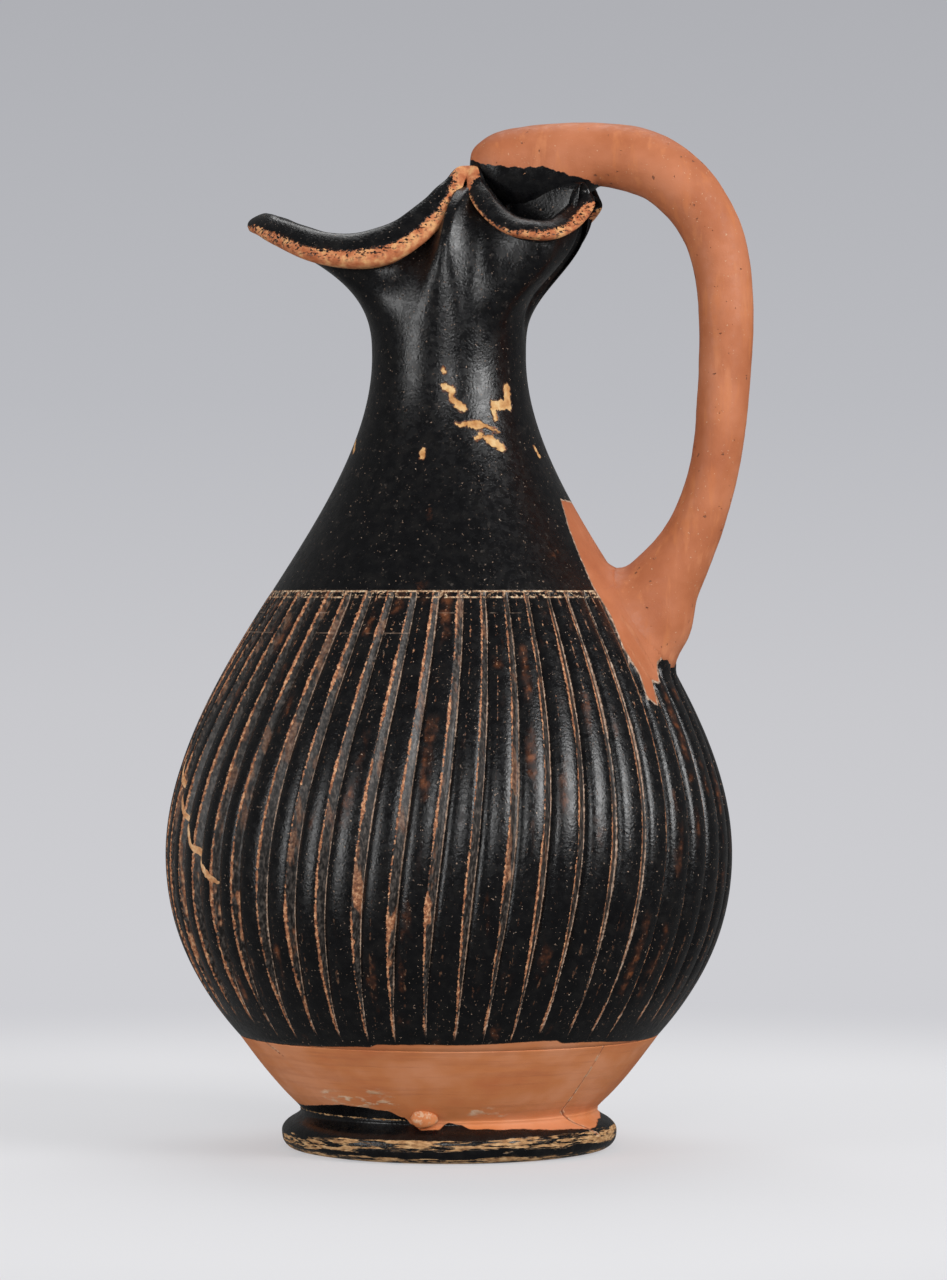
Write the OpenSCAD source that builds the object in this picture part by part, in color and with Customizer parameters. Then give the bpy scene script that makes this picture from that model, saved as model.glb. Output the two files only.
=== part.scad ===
// Ribbed black-gloss trefoil oinochoe, a small Greek wine jug with a restored handle.
// Millimetres. +Z is up, the spout points to -X and the handle to +X.
// The origin is the centre of the foot on the surface that the jug stands on.

/* [Foot] */
// Height of the foot ring
foot_height = 8; // [6:0.5:11]
// Largest radius of the foot ring
foot_radius = 33.4; // [32:0.2:37]
// Inner radius of the foot ring where it rests
foot_inner_radius = 25; // [22:0.5:27]

/* [Lower body] */
// Radius where the lower body meets the foot ring
waist_radius = 29.8; // [28.6:0.2:31]
// Height of the edge between bare clay and black ribs
band_height = 22.9; // [18:0.5:28]
// Radius at the edge between bare clay and black ribs
band_radius = 41.9; // [39:0.5:45]
// Thickness of the floor
floor_thickness = 4.5; // [3:0.5:6]
// Thickness of the body and neck walls
wall = 3.4; // [2.6:0.2:4]

/* [Belly] */
// Largest radius of the belly
belly_radius = 56.5; // [52:0.5:62]
// Height of the largest radius
belly_height = 59; // [54:1:64]
// Height of the incised line that ends the ribs
shoulder_height = 111.4; // [107:0.5:114]
// Radius at the incised line
shoulder_radius = 35.2; // [33:0.2:37]

/* [Ribs] */
// Number of ribs round the belly
rib_count = 49; // [44:1:56]
// Depth of the groove between two ribs
rib_depth = 1.3; // [0.6:0.1:1.7]
// Degrees that a groove turns from its top to its foot
rib_turn = 10.5; // [0:0.5:20]
// Height over which the grooves run out at their foot
rib_runout = 10; // [5:1:16]

/* [Neck and mouth] */
// Smallest radius of the neck
neck_radius = 15.4; // [14.6:0.2:16.6]
// Height of the narrowest place, where the mouth begins
neck_height = 158; // [154:0.5:160]
// How far the spout reaches in front of the axis
spout_reach = 41.2; // [38:0.5:46]
// Half the width of the spout
spout_half_width = 18; // [16:0.5:20]
// Half the width of the mouth across its two side lobes
lobe_half_width = 16.4; // [15.4:0.2:18]
// How far the side lobes reach behind the axis
lobe_reach = 30.8; // [29.4:0.2:32]
// Height of the rim at the pinches between the lobes
pinch_height = 193.6; // [192:0.2:194.6]
// How far the rim dips in the middle of the spout
rim_dip = 17; // [14:0.5:18]
// How much flatter the far lobe is behind than the near one
lobe_difference = 2.4; // [0:0.2:3]
// Width of the sloping face of the lip
lip_width = 3.6; // [3:0.2:4]

/* [Handle] */
// Thickness of the handle, seen from the side
handle_thickness = 10.8; // [9:0.2:12]
// Width of the handle, seen from behind
handle_width = 12; // [10:0.5:13]
// Distance of the handle's middle line from the axis
handle_reach = 56; // [52:0.5:60]
// Height of the handle's middle line over the mouth
handle_top = 198; // [197:0.2:200]
// Height of the handle's middle line where it meets the body
handle_foot = 106.5; // [104:0.5:109]

/* [Restoration] */
// Height of the top of the restored patch on the neck
patch_top = 129.4; // [125:0.5:134]
// Height of the lowest point of the restored patch
patch_bottom = 88.5; // [86:0.5:91]
// Half the angle that the restored patch covers
patch_half_angle = 24; // [22:0.5:27]
// Height of the upper end of the filled crack in the belly
crack_top = 78; // [74:0.5:82]
// Height of its lower end
crack_bottom = 54.6; // [50:0.5:60]
// Width of the filled crack
crack_width = 1.3; // [0.8:0.1:2]
// Radius of the clay pellet above the foot
pellet_radius = 2.7; // [2:0.1:3.2]

/* [Hidden] */

black_gloss = [0.09, 0.09, 0.1];
bare_clay = [0.72, 0.46, 0.3];
new_terracotta = [0.76, 0.46, 0.33];
light_fill = [0.83, 0.64, 0.46];

// Slope of the outer profile, radius against height, where two curves meet
band_slope = 0.9;
shoulder_slope = -0.64;

// Facets round the wheel-thrown forms where they are cut as meshes
round_facets = 120;
// Steps of each profile curve
belly_steps = 14;
neck_steps = 12;

// A value on the cubic curve between two stations, each [height, radius, slope]
function curve_at(a, b, z) =
    let (h = b[0] - a[0], t = (z - a[0]) / h)
    (2 * t ^ 3 - 3 * t ^ 2 + 1) * a[1] + (t ^ 3 - 2 * t ^ 2 + t) * h * a[2]
    + (3 * t ^ 2 - 2 * t ^ 3) * b[1] + (t ^ 3 - t ^ 2) * h * b[2];

band_station = [band_height, band_radius, band_slope];
belly_station = [belly_height, belly_radius, 0];
shoulder_station = [shoulder_height, shoulder_radius, shoulder_slope];
neck_station = [neck_height, neck_radius, 0];

// Outer radius of the thrown wall at a height between the band and the mouth
function outer_radius(z) =
    z < belly_height ? curve_at(band_station, belly_station, z)
    : z < shoulder_height ? curve_at(belly_station, shoulder_station, z)
    : curve_at(shoulder_station, neck_station, min(z, neck_height));

// Horizontal thickness of the wall, larger where the wall slants
function wall_across(z) =
    let (d = 0.5, slope = (outer_radius(z + d) - outer_radius(z - d)) / (2 * d))
    wall * sqrt(1 + slope ^ 2);

function inner_radius(z) = outer_radius(z) - wall_across(z);

function heights(low, high, steps) = [for (i = [0 : steps]) low + (high - low) * i / steps];

// The ribbed wall

// Places across one rib, as shares of the pitch, each with its share of the depth. A rib
// climbs gently out of its groove, and ends in the steep wall of the next one.
rib_section = [[0, 1], [0.15, 0.25], [0.45, -0.1], [0.755, 0.05]];
rib_start = 3.9;
rib_rows = 15;
rib_inner_rows = 7;
rib_top_ease = 2;

function rib_turn_at(z) =
    rib_start + rib_turn * (z - band_height) / (shoulder_height - band_height);

// How deep the grooves are cut at a height, from 0 to 1
function groove_share(z) =
    min(1, (z - band_height) / rib_runout) * min(1, (shoulder_height - z) / rib_top_ease);

function rib_heights() =
    concat(heights(band_height, band_height + rib_runout, 3),
           [for (i = [1 : rib_rows - 6])
                let (low = band_height + rib_runout, high = shoulder_height - rib_top_ease)
                low + (high - low) * i / (rib_rows - 6)],
           [shoulder_height]);

function rib_ring(z) =
    [for (i = [0 : rib_count - 1], place = rib_section)
        let (a = 360 * (i + place[0]) / rib_count + rib_turn_at(z),
             r = outer_radius(z) - rib_depth * place[1] * groove_share(z))
        [r * cos(a), r * sin(a), z]];

function smooth_ring(r, z, count, turn = 0) =
    [for (i = [0 : count - 1])
        let (a = 360 * i / count + turn)
        [r * cos(a), r * sin(a), z]];

// Triangles between two rings of the same count, the first ring starting at point a
function band_faces(a, b, count) =
    [for (i = [0 : count - 1])
        let (j = (i + 1) % count)
        each [[a + i, b + i, a + j], [a + j, b + i, b + j]]];

module ribbed_wall() {
    outer = rib_heights();
    inner = heights(shoulder_height, band_height, rib_inner_rows);
    count = rib_count * len(rib_section);
    rings = concat([for (z = outer) rib_ring(z)],
                   [for (z = inner) smooth_ring(inner_radius(z), z, count, rib_turn_at(z))]);
    points = [for (ring = rings) each ring];
    last = len(rings) - 1;
    faces = [for (k = [0 : last])
        each band_faces(k * count, ((k + 1) % (last + 1)) * count, count)];
    polyhedron(points, faces, convexity = 6);
}

// The mouth

rim_tip_height = 184.3;
spout_height = pinch_height - rim_dip;
lobe_height = spout_height + 4.4;
rim_back_height = lobe_height + 7.2;
pinch_x = 4.6;
pinch_gap = 5;
crease_x = 14;

// Stations along the near half of the rim, from the spout's tip to the crease under
// the handle: x, y, height, angle on the neck, share of the lip's width, rise of the
// lip, fullness of the wall. Fullness 0 flares late like a trumpet, 1 early like a cup,
// and below 0 later still.
rim_half = [
    [-spout_reach, 0, rim_tip_height, -180, 0.95, 0.85, 0],
    [-spout_reach + 2.9, -spout_half_width * 0.36, rim_tip_height - 1, -171, 1, 0.95, 0],
    [-spout_reach + 6.9, -spout_half_width * 0.6, rim_tip_height - 2.9, -164, 1.05, 1.1, 0],
    [-spout_reach + 15.4, -spout_half_width * 0.93, spout_height + 1.4, -152, 1.15, 1.35, 0],
    [-spout_reach + 24.2, -spout_half_width, spout_height, -137, 1.25, 1.5, 0],
    [-9.7, -spout_half_width * 0.94, spout_height + 0.7, -122, 1.25, 1.72, 0],
    [-4, -spout_half_width * 0.83, spout_height + 3.3, -110, 1.2, 1.75, 0],
    [0.9, -spout_half_width * 0.62, spout_height + 7.8, -99, 1.05, 1.55, -0.3],
    [pinch_x - 1.2, -pinch_gap - 2.2, pinch_height - 4.4, -90, 0.75, 1.1, -0.8],
    [pinch_x, -pinch_gap, pinch_height, -83, 0.5, 0.65, -1],
    [pinch_x + 0.8, -pinch_gap - 2.2, pinch_height - 3.3, -76, 0.7, 0.75, -0.7],
    [pinch_x + 3.4, -lobe_half_width * 0.68, lobe_height + 5.8, -68, 0.9, 0.85, 0],
    [pinch_x + 7.2, -lobe_half_width * 0.86, lobe_height + 2.6, -60, 1, 0.88, 0.4],
    [pinch_x + 11.4, -lobe_half_width * 0.97, lobe_height + 0.7, -52, 1, 0.88, 0.6],
    [lobe_reach - 9.4, -lobe_half_width, lobe_height, -44, 1, 0.88, 0.9],
    [lobe_reach - 5, -lobe_half_width * 0.82, lobe_height + 0.5, -35, 1, 0.88, 1],
    [lobe_reach - 1.9, -lobe_half_width * 0.51, lobe_height + 3.2, -25, 1, 0.9, 1],
    [lobe_reach - 0.4, -lobe_half_width * 0.25, rim_back_height, -15, 0.85, 0.8, 1],
    [lobe_reach - 4, -2.2, rim_back_height + 2.2, -7, 0.55, 0.6, 0.8],
    [crease_x, 0, rim_back_height + 3.2, 0, 0.5, 0.5, 0.6]];

// The far half mirrors the near half, with its lobe drawn in a little behind
function far_pull(i) = i > 13 && i < 17 ? lobe_difference * (i > 14 ? 1 : 0.5) : 0;
rim_stations = concat(rim_half,
    [for (i = [len(rim_half) - 2 : -1 : 1])
        let (p = rim_half[i]) [p[0] - far_pull(i), -p[1], p[2], -p[3], p[4], p[5], p[6]]]);

rim_substeps = 3;
rim_count = len(rim_stations) * rim_substeps;

// A smooth closed curve through stations, at station k plus a share t of the way on
function through(a, b, c, d, t) =
    0.5 * (2 * b + (c - a) * t + (2 * a - 5 * b + 4 * c - d) * t ^ 2
           + (3 * b - a - 3 * c + d) * t ^ 3);

// Angles grow from one station to the next, past 180 on the far half
function station(k) =
    let (n = len(rim_stations), p = rim_stations[(k + n) % n], laps = floor(k / n))
    [p[0], p[1], p[2], p[3] + 360 * laps, p[4], p[5], p[6]];

function rim_point(i) =
    let (k = floor(i / rim_substeps), t = i / rim_substeps - k)
    through(station(k - 1), station(k), station(k + 1), station(k + 2), t);

rim = [for (i = [0 : rim_count - 1]) rim_point(i)];

// Outward normal of a closed plan curve at each of its points
function normals(loop) =
    [for (i = [0 : len(loop) - 1])
        let (n = len(loop), a = loop[(i + n - 1) % n], b = loop[(i + 1) % n],
             d = [b[1] - a[1], a[0] - b[0]])
        d / norm(d)];

rim_normals = normals(rim);

// The lip's section: share of the lip's width inwards, share of its rise upwards
lip_section = [[0.9, -0.3], [0.25, -0.28], [0, -0.06], [0.08, 0.2], [0.45, 0.68], [0.95, 1],
               [1.4, 0.82], [1.65, 0.25], [1.74, -0.35]];

function lip_ring(k) =
    [for (i = [0 : rim_count - 1])
        let (p = rim[i], n = rim_normals[i], s = lip_section[k], w = lip_width * p[4])
        [p[0] - n[0] * s[0] * w, p[1] - n[1] * s[0] * w, p[2] + s[1] * lip_width * p[5]]];

mouth_rows = 7;
mouth_inner_rows = 5;
spout_flare = 2.65;
lobe_fullness = 1.15;
pinch_delay = 3;

function ease(t) = 6 * t ^ 5 - 15 * t ^ 4 + 10 * t ^ 3;

// How far the wall has opened from the neck to the rim at a share t of its height
function opening(t, fullness) =
    fullness < 0 ? t ^ (spout_flare - pinch_delay * fullness)
    : (1 - fullness) * t ^ spout_flare + fullness * ease(t ^ lobe_fullness);

// One ring of the mouth's wall, a share t of the way from the neck to a ring of the lip
function wall_ring(edge, t, radius) =
    [for (i = [0 : rim_count - 1])
        let (p = rim[i], q = edge[i], g = opening(t, p[6]))
        [radius * cos(p[3]) * (1 - g) + q[0] * g, radius * sin(p[3]) * (1 - g) + q[1] * g,
         neck_height + (q[2] - neck_height) * t]];

module mouth_wall() {
    outer_edge = lip_ring(0);
    inner_edge = lip_ring(len(lip_section) - 1);
    outer = [for (k = [0 : mouth_rows - 1]) wall_ring(outer_edge, k / mouth_rows, neck_radius)];
    lip = [for (k = [0 : len(lip_section) - 1]) lip_ring(k)];
    inner = [for (k = [mouth_inner_rows - 1 : -1 : 0])
        wall_ring(inner_edge, k / mouth_inner_rows, neck_radius - wall)];
    rings = concat(outer, lip, inner);
    points = [for (ring = rings) each ring];
    last = len(rings) - 1;
    faces = [for (k = [0 : last])
        each band_faces(k * rim_count, ((k + 1) % (last + 1)) * rim_count, rim_count)];
    polyhedron(points, faces, convexity = 8);
}

// The handle

// Stations along the handle: x, height, half thickness, half width
half_thick = handle_thickness / 2;
half_wide = handle_width / 2;
handle_stations = [
    [4.4, handle_top - 1.4, half_thick * 0.12, half_wide * 0.12],
    [5.1, handle_top - 1.4, half_thick * 0.5, half_wide * 0.5],
    [7.2, handle_top - 1.2, half_thick * 0.8, half_wide * 0.8],
    [10.8, handle_top - 0.8, half_thick + 0.3, half_wide],
    [16, handle_top - 0.4, half_thick + 0.9, half_wide],
    [23, handle_top, half_thick + 1, half_wide],
    [30.5, handle_top - 0.1, half_thick + 1, half_wide],
    [37.5, handle_top - 1.2, half_thick + 1.2, half_wide],
    [handle_reach - 12.5, handle_top - 3.8, half_thick + 1.1, half_wide],
    [handle_reach - 7.6, handle_top - 8.2, half_thick + 0.9, half_wide],
    [handle_reach - 4, handle_top - 13.3, half_thick + 0.6, half_wide],
    [handle_reach - 1.5, handle_top - 19.5, half_thick + 0.4, half_wide],
    [handle_reach - 0.2, handle_top - 28, half_thick + 0.2, half_wide],
    [handle_reach, handle_top - 36.5, half_thick, half_wide],
    [handle_reach - 0.6, handle_top - 48.2, half_thick - 0.2, half_wide],
    [handle_reach - 1.4, handle_foot + 34.5, half_thick - 0.4, half_wide],
    [handle_reach - 2.7, handle_foot + 27.5, half_thick - 0.4, half_wide],
    [handle_reach - 5, handle_foot + 20, half_thick - 0.2, half_wide + 0.2],
    [handle_reach - 8.3, handle_foot + 12.8, half_thick + 0.6, half_wide + 0.8],
    [handle_reach - 12.4, handle_foot + 6.4, half_thick + 2.2, half_wide + 2],
    [handle_reach - 16.3, handle_foot + 0.8, half_thick + 5.2, half_wide + 3.6],
    [handle_reach - 21.4, handle_foot - 2.8, half_thick + 6.4, half_wide + 5]];
handle_substeps = 2;
handle_sides = 16;

function handle_point(i) =
    let (n = len(handle_stations) - 1, k = min(floor(i / handle_substeps), n - 1),
         t = i / handle_substeps - k, s = handle_stations)
    through(s[max(k - 1, 0)], s[k], s[k + 1], s[min(k + 2, n)], t);

handle_line = [for (i = [0 : (len(handle_stations) - 1) * handle_substeps]) handle_point(i)];

// One oval ring of the handle, square to its middle line
function handle_ring(i) =
    let (n = len(handle_line) - 1, p = handle_line[i], a = handle_line[max(i - 1, 0)],
         b = handle_line[min(i + 1, n)], d = [b[0] - a[0], b[1] - a[1]], u = d / norm(d))
    [for (k = [0 : handle_sides - 1])
        let (turn = 360 * k / handle_sides, out = p[2] * cos(turn))
        [p[0] + u[1] * out, p[3] * sin(turn), p[1] - u[0] * out]];

module handle_form() {
    last = len(handle_line) - 1;
    rings = [for (i = [0 : last]) handle_ring(i)];
    sides = [for (i = [0 : last - 1])
        each band_faces(i * handle_sides, (i + 1) * handle_sides, handle_sides)];
    front = [for (k = [0 : handle_sides - 1]) k];
    back = [for (k = [handle_sides - 1 : -1 : 0]) last * handle_sides + k];
    polyhedron([for (ring = rings) each ring], concat(sides, [front, back]), convexity = 6);
}

// Broken edge between the old stub and the new handle, seen from the side
stub_edge = [[0, 197.4], [5.5, 197], [8.5, 195.8], [12, 195.7], [16, 195], [20, 195.3],
             [24, 194], [28, 192.9], [31.5, 191.6]];

module stub_side() {
    rotate([90, 0, 0])
        linear_extrude(height = 4 * handle_width, center = true)
        polygon(concat([[0, neck_height]], stub_edge, [[stub_edge[8][0], neck_height]]));
}

// Heights of the corners of the thrown profile
neck_heights = heights(shoulder_height, neck_height, neck_steps);
wall_heights = concat(heights(band_height, shoulder_height, belly_steps),
                      [for (i = [1 : neck_steps]) neck_heights[i]]);

// The smooth thrown wall between the heights in a list
module thrown_wall(zs) {
    last = len(zs) - 1;
    rotate_extrude($fn = round_facets)
        polygon(concat([for (z = zs) [outer_radius(z), z]],
                       [for (i = [last : -1 : 0]) [inner_radius(zs[i]), zs[i]]]));
}

// All that lies inside the outer face of the thrown wall
module thrown_form() {
    rotate_extrude($fn = round_facets)
        polygon(concat([[0, band_height]], [for (z = wall_heights) [outer_radius(z), z]],
                       [[0, neck_height]]));
}

// The restored patch

// Outline of the patch: share of its half angle, share of its height
patch_outline = [
    [-0.54, 1], [-0.8, 0.86], [-0.93, 0.72], [-1, 0.58], [-0.95, 0.44], [-1.02, 0.28],
    [-0.95, 0.16], [-1, 0.05], [-0.86, 0], [-0.74, 0.12], [-0.6, 0.11], [-0.44, 0.2],
    [-0.16, 0.24], [0.1, 0.18], [0.36, 0.21], [0.62, 0.12], [0.98, 0.17], [1.04, 0.36],
    [0.94, 0.51], [0.9, 0.71], [0.7, 0.88], [0.44, 0.985]];
function patch_height(share) = patch_bottom + share * (patch_top - patch_bottom);
patch_mid = patch_height(0.53);
patch_edge = [for (p = patch_outline) [p[0], patch_height(p[1])]];

function on_ray(share, z, r) =
    let (a = share * patch_half_angle) [r * cos(a), r * sin(a), z];

ray_in = 8;
ray_out = belly_radius + 6;

// The space that the patch fills, widening outwards from the axis
module patch_space() {
    n = len(patch_edge);
    points = concat([for (p = patch_edge) on_ray(p[0], p[1], ray_in)],
                    [for (p = patch_edge) on_ray(p[0], p[1], ray_out)],
                    [on_ray(0, patch_mid, ray_in), on_ray(0, patch_mid, ray_out)]);
    faces = [for (i = [0 : n - 1])
        let (j = (i + 1) % n)
        each [[j, i, n + i], [n + j, j, n + i], [2 * n, i, j], [n + j, n + i, 2 * n + 1]]];
    polyhedron(points, faces, convexity = 4);
}

// Grooves scored into the patch to carry the ribs on, counted in ribs from the handle
scored_ribs = [-4, -3, 0, 1];
scored_steps = 3;
scored_radius = 0.55;

module scored_point(rib, z) {
    turn = 360 * rib / rib_count + rib_turn_at(z);
    rotate([0, 0, turn])
        translate([outer_radius(z), 0, z])
        sphere(r = scored_radius, $fn = 8);
}

module scored_grooves() {
    zs = heights(patch_bottom + 5, patch_bottom + 17, scored_steps);
    for (rib = scored_ribs, i = [0 : scored_steps - 1])
        hull() {
            scored_point(rib, zs[i]);
            scored_point(rib, zs[i + 1]);
        }
}

// The filled crack on the belly

// Turns of the crack: angle round the belly, share of its height, share of its width
crack_turns = [[-157.5, 1, 0.5], [-154, 0.85, 1], [-151.5, 0.72, 0.8], [-148.5, 0.64, 1.2],
               [-145.8, 0.5, 0.9], [-143, 0.43, 1.3], [-141, 0.31, 1], [-138.6, 0.25, 1.4],
               [-136.8, 0.16, 1], [-134.4, 0.09, 1.5], [-131.8, 0, 0.6]];
crack_route = [for (p = crack_turns) [p[0], crack_bottom + p[1] * (crack_top - crack_bottom), p[2]]];

module crack_ray(p) {
    rotate([0, 90, p[0]])
        translate([-p[1], 0, belly_radius * 0.8])
        cylinder(d = crack_width * p[2], h = belly_radius * 0.3, $fn = 8);
}

module crack_space() {
    for (i = [0 : len(crack_route) - 2])
        hull() {
            crack_ray(crack_route[i]);
            crack_ray(crack_route[i + 1]);
        }
}

pellet_angle = -87;
pellet_lump = [[0, -0.6], [0.5, -0.52], [0.84, -0.32], [1, 0], [0.84, 0.32], [0.5, 0.52], [0, 0.6]];

// Sub-parts

module foot_ring() {
    color(bare_clay)
        rotate_extrude($fn = 180)
        polygon([
            [foot_inner_radius + 1, 0], [foot_radius - 3.8, 0], [foot_radius - 1.6, 0.5],
            [foot_radius - 0.4, 1.6], [foot_radius, 3], [foot_radius - 0.1, 4.4],
            [foot_radius - 1.1, 5.6], [foot_radius - 2.7, foot_height - 1.4],
            [waist_radius, foot_height - 0.6], [waist_radius, foot_height],
            [foot_inner_radius - 2, foot_height], [foot_inner_radius - 1, foot_height / 2],
            [foot_inner_radius, 0.8]]);
}

module lower_body() {
    floor_top = foot_height + floor_thickness;
    color(bare_clay)
        rotate_extrude($fn = 180)
        polygon([
            [0, foot_height], [waist_radius, foot_height], [waist_radius + 0.3, foot_height + 0.8],
            [band_radius, band_height], [inner_radius(band_height), band_height],
            [waist_radius - wall + 1, floor_top + 1.5], [waist_radius - wall - 2, floor_top],
            [0, floor_top]]);
}

module ribbed_belly() {
    color(black_gloss)
        difference() {
            ribbed_wall();
            patch_space();
            crack_space();
        }
}

module shoulder_neck() {
    color(black_gloss)
        difference() {
            thrown_wall(neck_heights);
            patch_space();
        }
}

module trefoil_mouth() {
    color(black_gloss) mouth_wall();
}

module handle_stub() {
    color(black_gloss)
        difference() {
            intersection() {
                handle_form();
                stub_side();
            }
            mouth_wall();
        }
}

module restored_handle() {
    color(new_terracotta)
        difference() {
            handle_form();
            stub_side();
            mouth_wall();
            thrown_form();
        }
}

module shoulder_patch() {
    color(new_terracotta)
        difference() {
            intersection() {
                thrown_wall(wall_heights);
                patch_space();
            }
            scored_grooves();
        }
}

module crack_fill() {
    color(light_fill)
        intersection() {
            ribbed_wall();
            crack_space();
        }
}

// Small lump of clay in the corner between the foot and the wall, at the jug's front
module clay_pellet() {
    color(bare_clay)
        difference() {
            rotate([0, 0, pellet_angle])
                translate([waist_radius + 0.8, 0, foot_height + 0.8])
                rotate([0, 90, 0])
                rotate_extrude($fn = 40)
                polygon(pellet_lump * pellet_radius);
            lower_body();
            foot_ring();
        }
}

foot_ring();
lower_body();
ribbed_belly();
shoulder_neck();
trefoil_mouth();
handle_stub();
restored_handle();
shoulder_patch();
crack_fill();
clay_pellet();
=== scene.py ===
"""Ribbed black-gloss trefoil oinochoe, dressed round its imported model.

Lengths are millimetres until a mesh is made, which is in metres. The spout points to -X,
the handle to +X, and the jug stands on z = 0.
"""
import logging
import math
from dataclasses import dataclass
from enum import Enum
from typing import Callable, Sequence

import bpy
from bpy.types import ID, Material, Node, NodeSocket, NodeTree, Object
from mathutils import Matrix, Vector, noise
from mathutils.bvhtree import BVHTree


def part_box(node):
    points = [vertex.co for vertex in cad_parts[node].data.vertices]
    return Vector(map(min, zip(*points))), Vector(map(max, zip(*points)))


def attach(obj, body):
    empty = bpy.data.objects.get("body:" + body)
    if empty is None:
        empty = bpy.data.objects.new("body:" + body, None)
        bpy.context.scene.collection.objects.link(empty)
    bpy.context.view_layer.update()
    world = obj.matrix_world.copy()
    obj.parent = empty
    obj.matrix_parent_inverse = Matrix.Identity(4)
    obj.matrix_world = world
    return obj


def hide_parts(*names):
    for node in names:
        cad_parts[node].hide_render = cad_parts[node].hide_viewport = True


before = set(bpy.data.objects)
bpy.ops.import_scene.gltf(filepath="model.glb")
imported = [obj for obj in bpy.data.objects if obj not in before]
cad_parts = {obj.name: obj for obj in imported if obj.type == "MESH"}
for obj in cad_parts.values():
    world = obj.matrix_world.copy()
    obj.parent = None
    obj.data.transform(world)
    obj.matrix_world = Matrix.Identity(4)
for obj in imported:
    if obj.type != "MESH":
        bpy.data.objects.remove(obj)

log = logging.getLogger("oinochoe")

MM = 0.001
PHOTO_WIDTH, PHOTO_HEIGHT = 947, 1280
# What a field holds far outside its outline, in millimetres
FAR_OUTSIDE = -9.0
Point = tuple[float, float, float]
Rows = Sequence[Sequence[float]]


class Slot(Enum):
    """The record's material slots, one of which is given with each piece."""

    BLACK_GLOSS = "black_gloss"
    BARE_CLAY = "bare_clay"
    NEW_TERRACOTTA = "new_terracotta"
    LIGHT_FILL = "light_fill"


class Origin(Enum):
    """Which side of the root a point of the fillet belongs to."""

    HANDLE = 1
    BODY = 2


# Plain mathematics


def smooth(low: float, high: float, value: float) -> float:
    """Ease from 0 at low to 1 at high."""
    share = min(max((value - low) / (high - low), 0.0), 1.0)
    return share * share * (3 - 2 * share)


def through(a: Sequence[float], b: Sequence[float], c: Sequence[float], d: Sequence[float],
            t: float) -> tuple[float, ...]:
    """Return the place a share t of the way from b to c on a smooth curve.

    Args:
        a: The station before b.
        b: The station where the stretch starts.
        c: The station where it ends.
        d: The station after c.
        t: Share of the way from b to c.

    Returns:
        One value for each of the stations' values.
    """
    return tuple(
        0.5 * (2 * q + (r - p) * t + (2 * p - 5 * q + 4 * r - s) * t * t
               + (3 * q - p - 3 * r + s) * t ** 3)
        for p, q, r, s in zip(a, b, c, d))


def smooth_line(stations: Rows, steps: int) -> list[tuple[float, ...]]:
    """Return an open smooth curve through stations.

    Args:
        stations: The places that the curve passes.
        steps: Steps between two stations.

    Returns:
        The places on the curve, both ends included.
    """
    last = len(stations) - 1
    line = [through(stations[max(k - 1, 0)], stations[k], stations[k + 1],
                    stations[min(k + 2, last)], i / steps)
            for k in range(last) for i in range(steps)]
    return line + [tuple(stations[last])]


def between(low: float, high: float, steps: int) -> list[float]:
    """Return steps + 1 even values from low to high."""
    return [low + (high - low) * i / steps for i in range(steps + 1)]


def table_value(table: Sequence[tuple[float, float]], place: float) -> float:
    """Return a value read from a short table of (place, value) rows, eased between rows."""
    if place <= table[0][0]:
        return table[0][1]
    for (low, a), (high, b) in zip(table, table[1:]):
        if place <= high:
            return a + (b - a) * smooth(low, high, place)
    return table[-1][1]


def wrapped(angle: float) -> float:
    """Return an angle as the same one between -180 and 180."""
    return (angle + 180) % 360 - 180


def polar(radius: float, turn: float, z: float) -> Point:
    """Return the point at a radius from the axis, an angle in radians and a height."""
    return (radius * math.cos(turn), radius * math.sin(turn), z)


def stretch_distance(ax: float, ay: float, bx: float, by: float) -> float:
    """Return the distance from the origin to the straight stretch from a to b."""
    dx, dy = bx - ax, by - ay
    length = dx * dx + dy * dy
    share = min(max(-(ax * dx + ay * dy) / length, 0.0), 1.0) if length else 0.0
    return math.hypot(ax + dx * share, ay + dy * share)


def corners(node: str) -> tuple[Vector, Vector]:
    """Return the lowest and highest corner of a CAD node in millimetres."""
    low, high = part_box(node)
    return Vector(low) / MM, Vector(high) / MM


# Meshes


def add_object(name: str, data: ID) -> Object:
    """Add an object to the scene."""
    added = bpy.data.objects.new(name, data)
    bpy.context.scene.collection.objects.link(added)
    return added


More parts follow.
